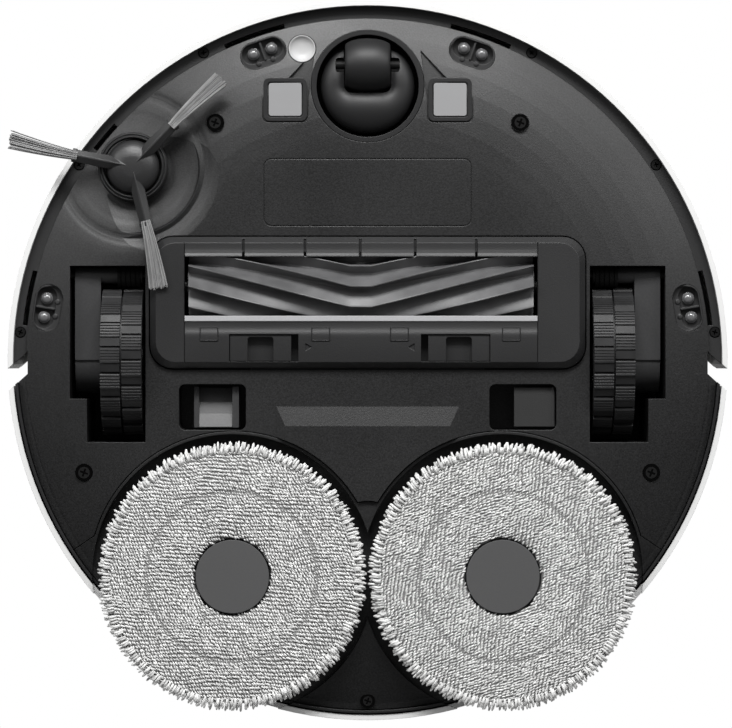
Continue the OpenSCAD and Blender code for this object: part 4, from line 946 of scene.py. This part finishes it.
# %% Guard pads and the left vent's throat
pad_parts = []
for x in (-76.7, -22.7, 15.4, 69.5):
    at = (x * MM, -12.6 * MM)
    outline = plate("outline", at, 4.5 * MM, 3.4 * MM, 0.5 * MM, 5.62 * MM, 6.1 * MM)
    groove = plate("groove", at, 4 * MM, 2.9 * MM, 0.4 * MM, 5 * MM, 5.8 * MM)
    pad_parts.append(cut(outline, [groove]))
fitted("guard_pads", join("guard_pads", pad_parts, FINISHES["frame_plastic"]), "root", "frame_plastic")
throat = [plate("rib", (-83.2 * MM, 22.8 * MM), 1.2 * MM, 10 * MM, 0.3 * MM, 17 * MM, 35 * MM),
          plate("rib", (-64.1 * MM, 22.8 * MM), 1.6 * MM, 10 * MM, 0.3 * MM, 15 * MM, 35 * MM)]
ramp = mm((13.4, 22), (19, 20.8), (26, 18.6), (32.6, 16), (32.6, 35), (13.4, 35))
throat.append(prism("throat", ramp, -82 * MM, -65.7 * MM, along_x))
fitted("vent_throat", join("vent_throat", throat, FINISHES["flap_plastic"]), "root", "arm_plastic")
print("small parts placed")

# %% [markdown]
# ## The mop pads
# A pad is a ring of foam in a cloth cover, with rows of twisted yarn loops on its face and a ragged fringe at its
# rim. The body is a soft form, so it is inflated by a short cloth simulation, flattened where it meets the floor.
# The loops repeat in rows, so a tree sets them on the pad: a ray finds the pad's surface under each grid point,
# loops outside the ring are dropped, and each loop gets its own small turn, size and shade.

# %% Pad body
pad_low, pad_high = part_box("left_mop_cloth")
PAD_CENTRE = Vector(((pad_low[0] + pad_high[0]) / 2, (pad_low[1] + pad_high[1]) / 2, 0))
PAD_R = (pad_high[0] - pad_low[0]) / 2
PAD_TOP = pad_high[2]
HOLE_R = 18 * MM
FACE = 1.3 * MM
VOXEL = 4 * MM
PRESSURE = 4
SIM_FRAMES = (1, 20)
MOST_MOVE = 1.2 * MM


def pad_body():
    inset = 1.4 * MM
    rim = PAD_R - inset
    profile = [(HOLE_R - 1 * MM, PAD_TOP - 0.4 * MM), (HOLE_R - 1 * MM, FACE + 0.8 * MM),
               (HOLE_R + 0.5 * MM, FACE + 0.4 * MM), (rim - 3 * MM, FACE + 0.4 * MM), (rim, FACE + 2 * MM),
               (rim, PAD_TOP - 1.4 * MM), (rim - 2 * MM, PAD_TOP - 0.4 * MM)]
    body = add_object("pad_body", revolve("pad_body", profile, 96))
    remesh = body.modifiers.new("even", "REMESH")
    remesh.mode = "VOXEL"
    remesh.voxel_size = VOXEL
    body.data = applied(body)
    rest = [v.co.copy() for v in body.data.vertices]
    cloth = body.modifiers.new("cloth", "CLOTH")
    cloth.settings.use_pressure = True
    cloth.settings.uniform_pressure_force = PRESSURE
    cloth.settings.effector_weights.gravity = 0
    cloth.point_cache.frame_start, cloth.point_cache.frame_end = SIM_FRAMES
    for number in range(SIM_FRAMES[0], SIM_FRAMES[1] + 1):
        bpy.context.scene.frame_set(number)
    soft = bpy.data.meshes.new_from_object(body.evaluated_get(bpy.context.evaluated_depsgraph_get()))
    body.modifiers.clear()
    bpy.context.scene.frame_set(SIM_FRAMES[0])
    moves = []
    for vertex, was in zip(soft.vertices, rest):
        move = vertex.co - was
        if move.length > MOST_MOVE:
            move *= MOST_MOVE / move.length
        vertex.co = was + move
        vertex.co.z = min(max(vertex.co.z, FACE), PAD_TOP - 0.3 * MM)
        reach = vertex.co.xy.length
        if reach < HOLE_R:
            vertex.co.x, vertex.co.y = vertex.co.x * HOLE_R / reach, vertex.co.y * HOLE_R / reach
        moves.append(move.length)
    body.data = soft
    print("cloth moved, mm:", round(max(moves) / MM, 2))
    finer = body.modifiers.new("finer", "SUBSURF")
    finer.levels = 1
    body.data = applied(body)
    return body


pad = pad_body()

# %% Tree: yarn loops on a pad
loop_tree, loop_ids, start, end = node_tree("yarn_loops", [
    ("Pad", "Object", None), ("Inner", "Float", 0.018), ("Outer", "Float", 0.063), ("Seed", "Int", 5),
    ("Pitch X", "Float", 0.0013), ("Pitch Y", "Float", 0.00168), ("Finish", "Material", None)])


def math_node(operation, a, b=None, c=None):
    node = add(loop_tree, "ShaderNodeMath", operation=operation)
    for slot, value in enumerate((a, b, c)):
        if value is None:
            continue
        if isinstance(value, (int, float)):
            node.inputs[slot].default_value = value
        else:
            loop_tree.links.new(value, node.inputs[slot])
    return node.outputs[0]


def random_between(low, high, salt):
    node = add(loop_tree, "FunctionNodeRandomValue", data_type="FLOAT")
    node.inputs["Min"].default_value = low
    node.inputs["Max"].default_value = high
    loop_tree.links.new(math_node("ADD", start.outputs["Seed"], salt), node.inputs["Seed"])
    return random_out(node)


SPAN = 0.132
grid = add(loop_tree, "GeometryNodeMeshGrid")
grid.inputs["Size X"].default_value = grid.inputs["Size Y"].default_value = SPAN
wire(loop_tree, (math_node("DIVIDE", SPAN, start.outputs["Pitch X"]), grid.inputs["Vertices X"]),
     (math_node("DIVIDE", SPAN, start.outputs["Pitch Y"]), grid.inputs["Vertices Y"]))
where = add(loop_tree, "GeometryNodeInputPosition")
split = add(loop_tree, "ShaderNodeSeparateXYZ")
loop_tree.links.new(where.outputs[0], split.inputs[0])
waves = add(loop_tree, "ShaderNodeTexNoise")
waves.inputs["Scale"].default_value = 45
row = math_node("ROUND", math_node("DIVIDE", split.outputs["Y"], start.outputs["Pitch Y"]))
shift = math_node("MULTIPLY", math_node("MODULO", row, 2.0), 0.0007)
new_x = math_node("ADD", math_node("ADD", split.outputs["X"], shift), random_between(-0.0003, 0.0003, 1))
wave_y = math_node("MULTIPLY", math_node("SUBTRACT", waves.outputs["Fac"], 0.5), 0.006)
new_y = math_node("ADD", math_node("ADD", split.outputs["Y"], wave_y), random_between(-0.0002, 0.0002, 2))
spot, moved = add(loop_tree, "ShaderNodeCombineXYZ"), add(loop_tree, "GeometryNodeSetPosition")
wire(loop_tree, (new_x, spot.inputs["X"]), (new_y, spot.inputs["Y"]))
spot.inputs["Z"].default_value = -0.01
wire(loop_tree, (grid.outputs["Mesh"], moved.inputs["Geometry"]), (spot.outputs[0], moved.inputs["Position"]))
target, ray = add(loop_tree, "GeometryNodeObjectInfo"), add(loop_tree, "GeometryNodeRaycast")
wire(loop_tree, (start.outputs["Pad"], target.inputs["Object"]),
     (target.outputs["Geometry"], ray.inputs["Target Geometry"]))
ray.inputs["Ray Direction"].default_value = (0, 0, 1)
ray.inputs["Ray Length"].default_value = 0.05
settled = add(loop_tree, "GeometryNodeSetPosition")
wire(loop_tree, (moved.outputs[0], settled.inputs["Geometry"]),
     (ray.outputs["Hit Position"], settled.inputs["Position"]),
     (ray.outputs["Is Hit"], settled.inputs["Selection"]))
reach = add(loop_tree, "ShaderNodeVectorMath", operation="LENGTH")
flat_place = add(loop_tree, "ShaderNodeVectorMath", operation="MULTIPLY")
flat_place.inputs[1].default_value = (1, 1, 0)
wire(loop_tree, (where.outputs[0], flat_place.inputs[0]), (flat_place.outputs[0], reach.inputs[0]))
outside = math_node("GREATER_THAN", reach.outputs["Value"], start.outputs["Outer"])
inside = math_node("LESS_THAN", reach.outputs["Value"], start.outputs["Inner"])
cull = add(loop_tree, "GeometryNodeDeleteGeometry", domain="POINT")
loop_tree.links.new(settled.outputs[0], cull.inputs["Geometry"])
missed = math_node("LESS_THAN", split.outputs["Z"], -0.005)
loop_tree.links.new(math_node("MAXIMUM", math_node("MAXIMUM", outside, inside), missed), cull.inputs["Selection"])
copies = add(loop_tree, "GeometryNodeInstanceOnPoints")
tilt, size = add(loop_tree, "ShaderNodeCombineXYZ"), add(loop_tree, "ShaderNodeCombineXYZ")
wobble = random_between(-0.28, 0.28, 3)
drift = math_node("MULTIPLY", math_node("SUBTRACT", waves.outputs["Fac"], 0.5), 1.6)
loop_tree.links.new(math_node("ADD", wobble, drift), tilt.inputs["Z"])
loop_tree.links.new(random_between(-0.15, 0.15, 4), tilt.inputs["X"])
seam = math_node("LESS_THAN", math_node("ABSOLUTE", math_node("SUBTRACT", reach.outputs["Value"], 0.041)), 0.0011)
thick = math_node("SUBTRACT", random_between(0.85, 1.15, 5), math_node("MULTIPLY", seam, 0.35))
for axis in "XYZ":
    loop_tree.links.new(thick, size.inputs[axis])
wire(loop_tree, (cull.outputs[0], copies.inputs["Points"]), (start.outputs["Geometry"], copies.inputs["Instance"]),
     (tilt.outputs[0], copies.inputs["Rotation"]), (size.outputs[0], copies.inputs["Scale"]))
tone = add(loop_tree, "GeometryNodeStoreNamedAttribute", data_type="FLOAT", domain="INSTANCE")
tone.inputs["Name"].default_value = "shade"
wire(loop_tree, (copies.outputs[0], tone.inputs["Geometry"]), (random_between(0.4, 0.8, 6), tone.inputs["Value"]))
finish_tree(loop_tree, start, end, tone.outputs[0])

# %% One loop, one fringe end
YARN = yarn("mop_yarn", (0.055, 0.055, 0.055), (0.92, 0.92, 0.91))


def bent_tube(name, spine, radii, sides=5):
    """Closed tube along a spine in a plane, thicker in its middle."""
    points = []
    turns = [2 * math.pi * k / sides for k in range(sides)]
    for (x, y, z), r in zip(spine, radii):
        points += [(x, y + r * math.cos(t), z + 0.85 * r * math.sin(t)) for t in turns]
    last = len(points)
    ends = [tuple(range(sides)), tuple(range(last - 1, last - sides - 1, -1))]
    return solid_mesh(name, points, quads(len(spine), sides) + ends)


LOOP_SPINE = mm((-1.05, 0, 0.1), (-0.7, 0, -0.4), (0.1, 0, -0.62), (0.8, 0, -0.3), (1.1, 0, 0.1))
LOOP_RADII = [r * MM for r in (0.18, 0.4, 0.46, 0.38, 0.18)]
loop_shape = bent_tube("loop", LOOP_SPINE, LOOP_RADII)
loop_shape.transform(Matrix.Rotation(math.radians(48), 4, "Z"))
loops = grow("loops", loop_shape, loop_tree, loop_ids, Pad=pad, Inner=HOLE_R + 0.6 * MM, Outer=PAD_R - 1.6 * MM,
             Seed=5, Finish=YARN)
print("loop faces:", len(loops.polygons))

# %% Fringe
fringe_rows = []
for k, (reach, lift, turn) in enumerate(((0.0, 2.4, 0.0), (-1.6, 1.5, 0.35), (0.3, 4.6, 0.6))):
    spine = mm((reach - 4.4, 0, lift), (reach - 2.4, 0, lift - 0.5), (reach - 0.9, 0.2, lift - 0.2),
               (reach - 0.1, 0.3, lift + 0.5))
    tip = bent_tube("tip", [(PAD_R + x, y, z) for x, y, z in spine], [r * MM for r in (0.5, 0.64, 0.6, 0.3)])
    fringe_rows.append(grow("fringe", tip, ring_tree, ring_ids, Count=270 - 9 * k, Phase=turn, Axis=(0, 0, 1),
                            Finish=YARN))
fringe = join("fringe", fringe_rows, YARN)
work = bmesh.new()
work.from_mesh(fringe)
tone_layer = work.verts.layers.float.new("shade")
random.seed(21)
PER_TIP = 20
for first in range(0, len(work.verts), PER_TIP):
    work.verts.ensure_lookup_table()
    tip = work.verts[first:first + PER_TIP]
    stretch = random.uniform(-1.8, 0.4) * MM
    swing = random.uniform(-0.02, 0.02)
    shade = random.uniform(0.3, 0.75)
    for vertex in tip:
        reach = vertex.co.xy.length
        outward_move = stretch * max(0.0, (reach - PAD_R + 4 * MM) / (4 * MM))
        vertex.co += Vector((vertex.co.x, vertex.co.y, 0)).normalized() * outward_move
        vertex.co = Matrix.Rotation(swing, 3, "Z") @ vertex.co
        vertex[tone_layer] = shade
work.to_mesh(fringe)
work.free()
print("fringe faces:", len(fringe.polygons))

# %% Two pads
for side, mirror in (("left", 1), ("right", -1)):
    turn = Matrix.Identity(4) if mirror == 1 else Matrix.Rotation(math.radians(-87), 4, "Z")
    place = Vector((mirror * PAD_CENTRE.x, PAD_CENTRE.y, 0))
    # The pad body, dark in the yarn finish, is painted shade between the loops.
    mop_mesh = join(side + "_mop_pad", [pad.data, loops, fringe], YARN)
    mop_mesh.transform(Matrix.Translation(place) @ turn)
    mop_mesh.shade_smooth()
    mop = add_object(side + "_mop_pad", mop_mesh)
    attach(mop, side + "_mop")
    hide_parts(side + "_mop_cloth")
    print(side, "pad faces:", len(mop_mesh.polygons))
bpy.data.objects.remove(pad)
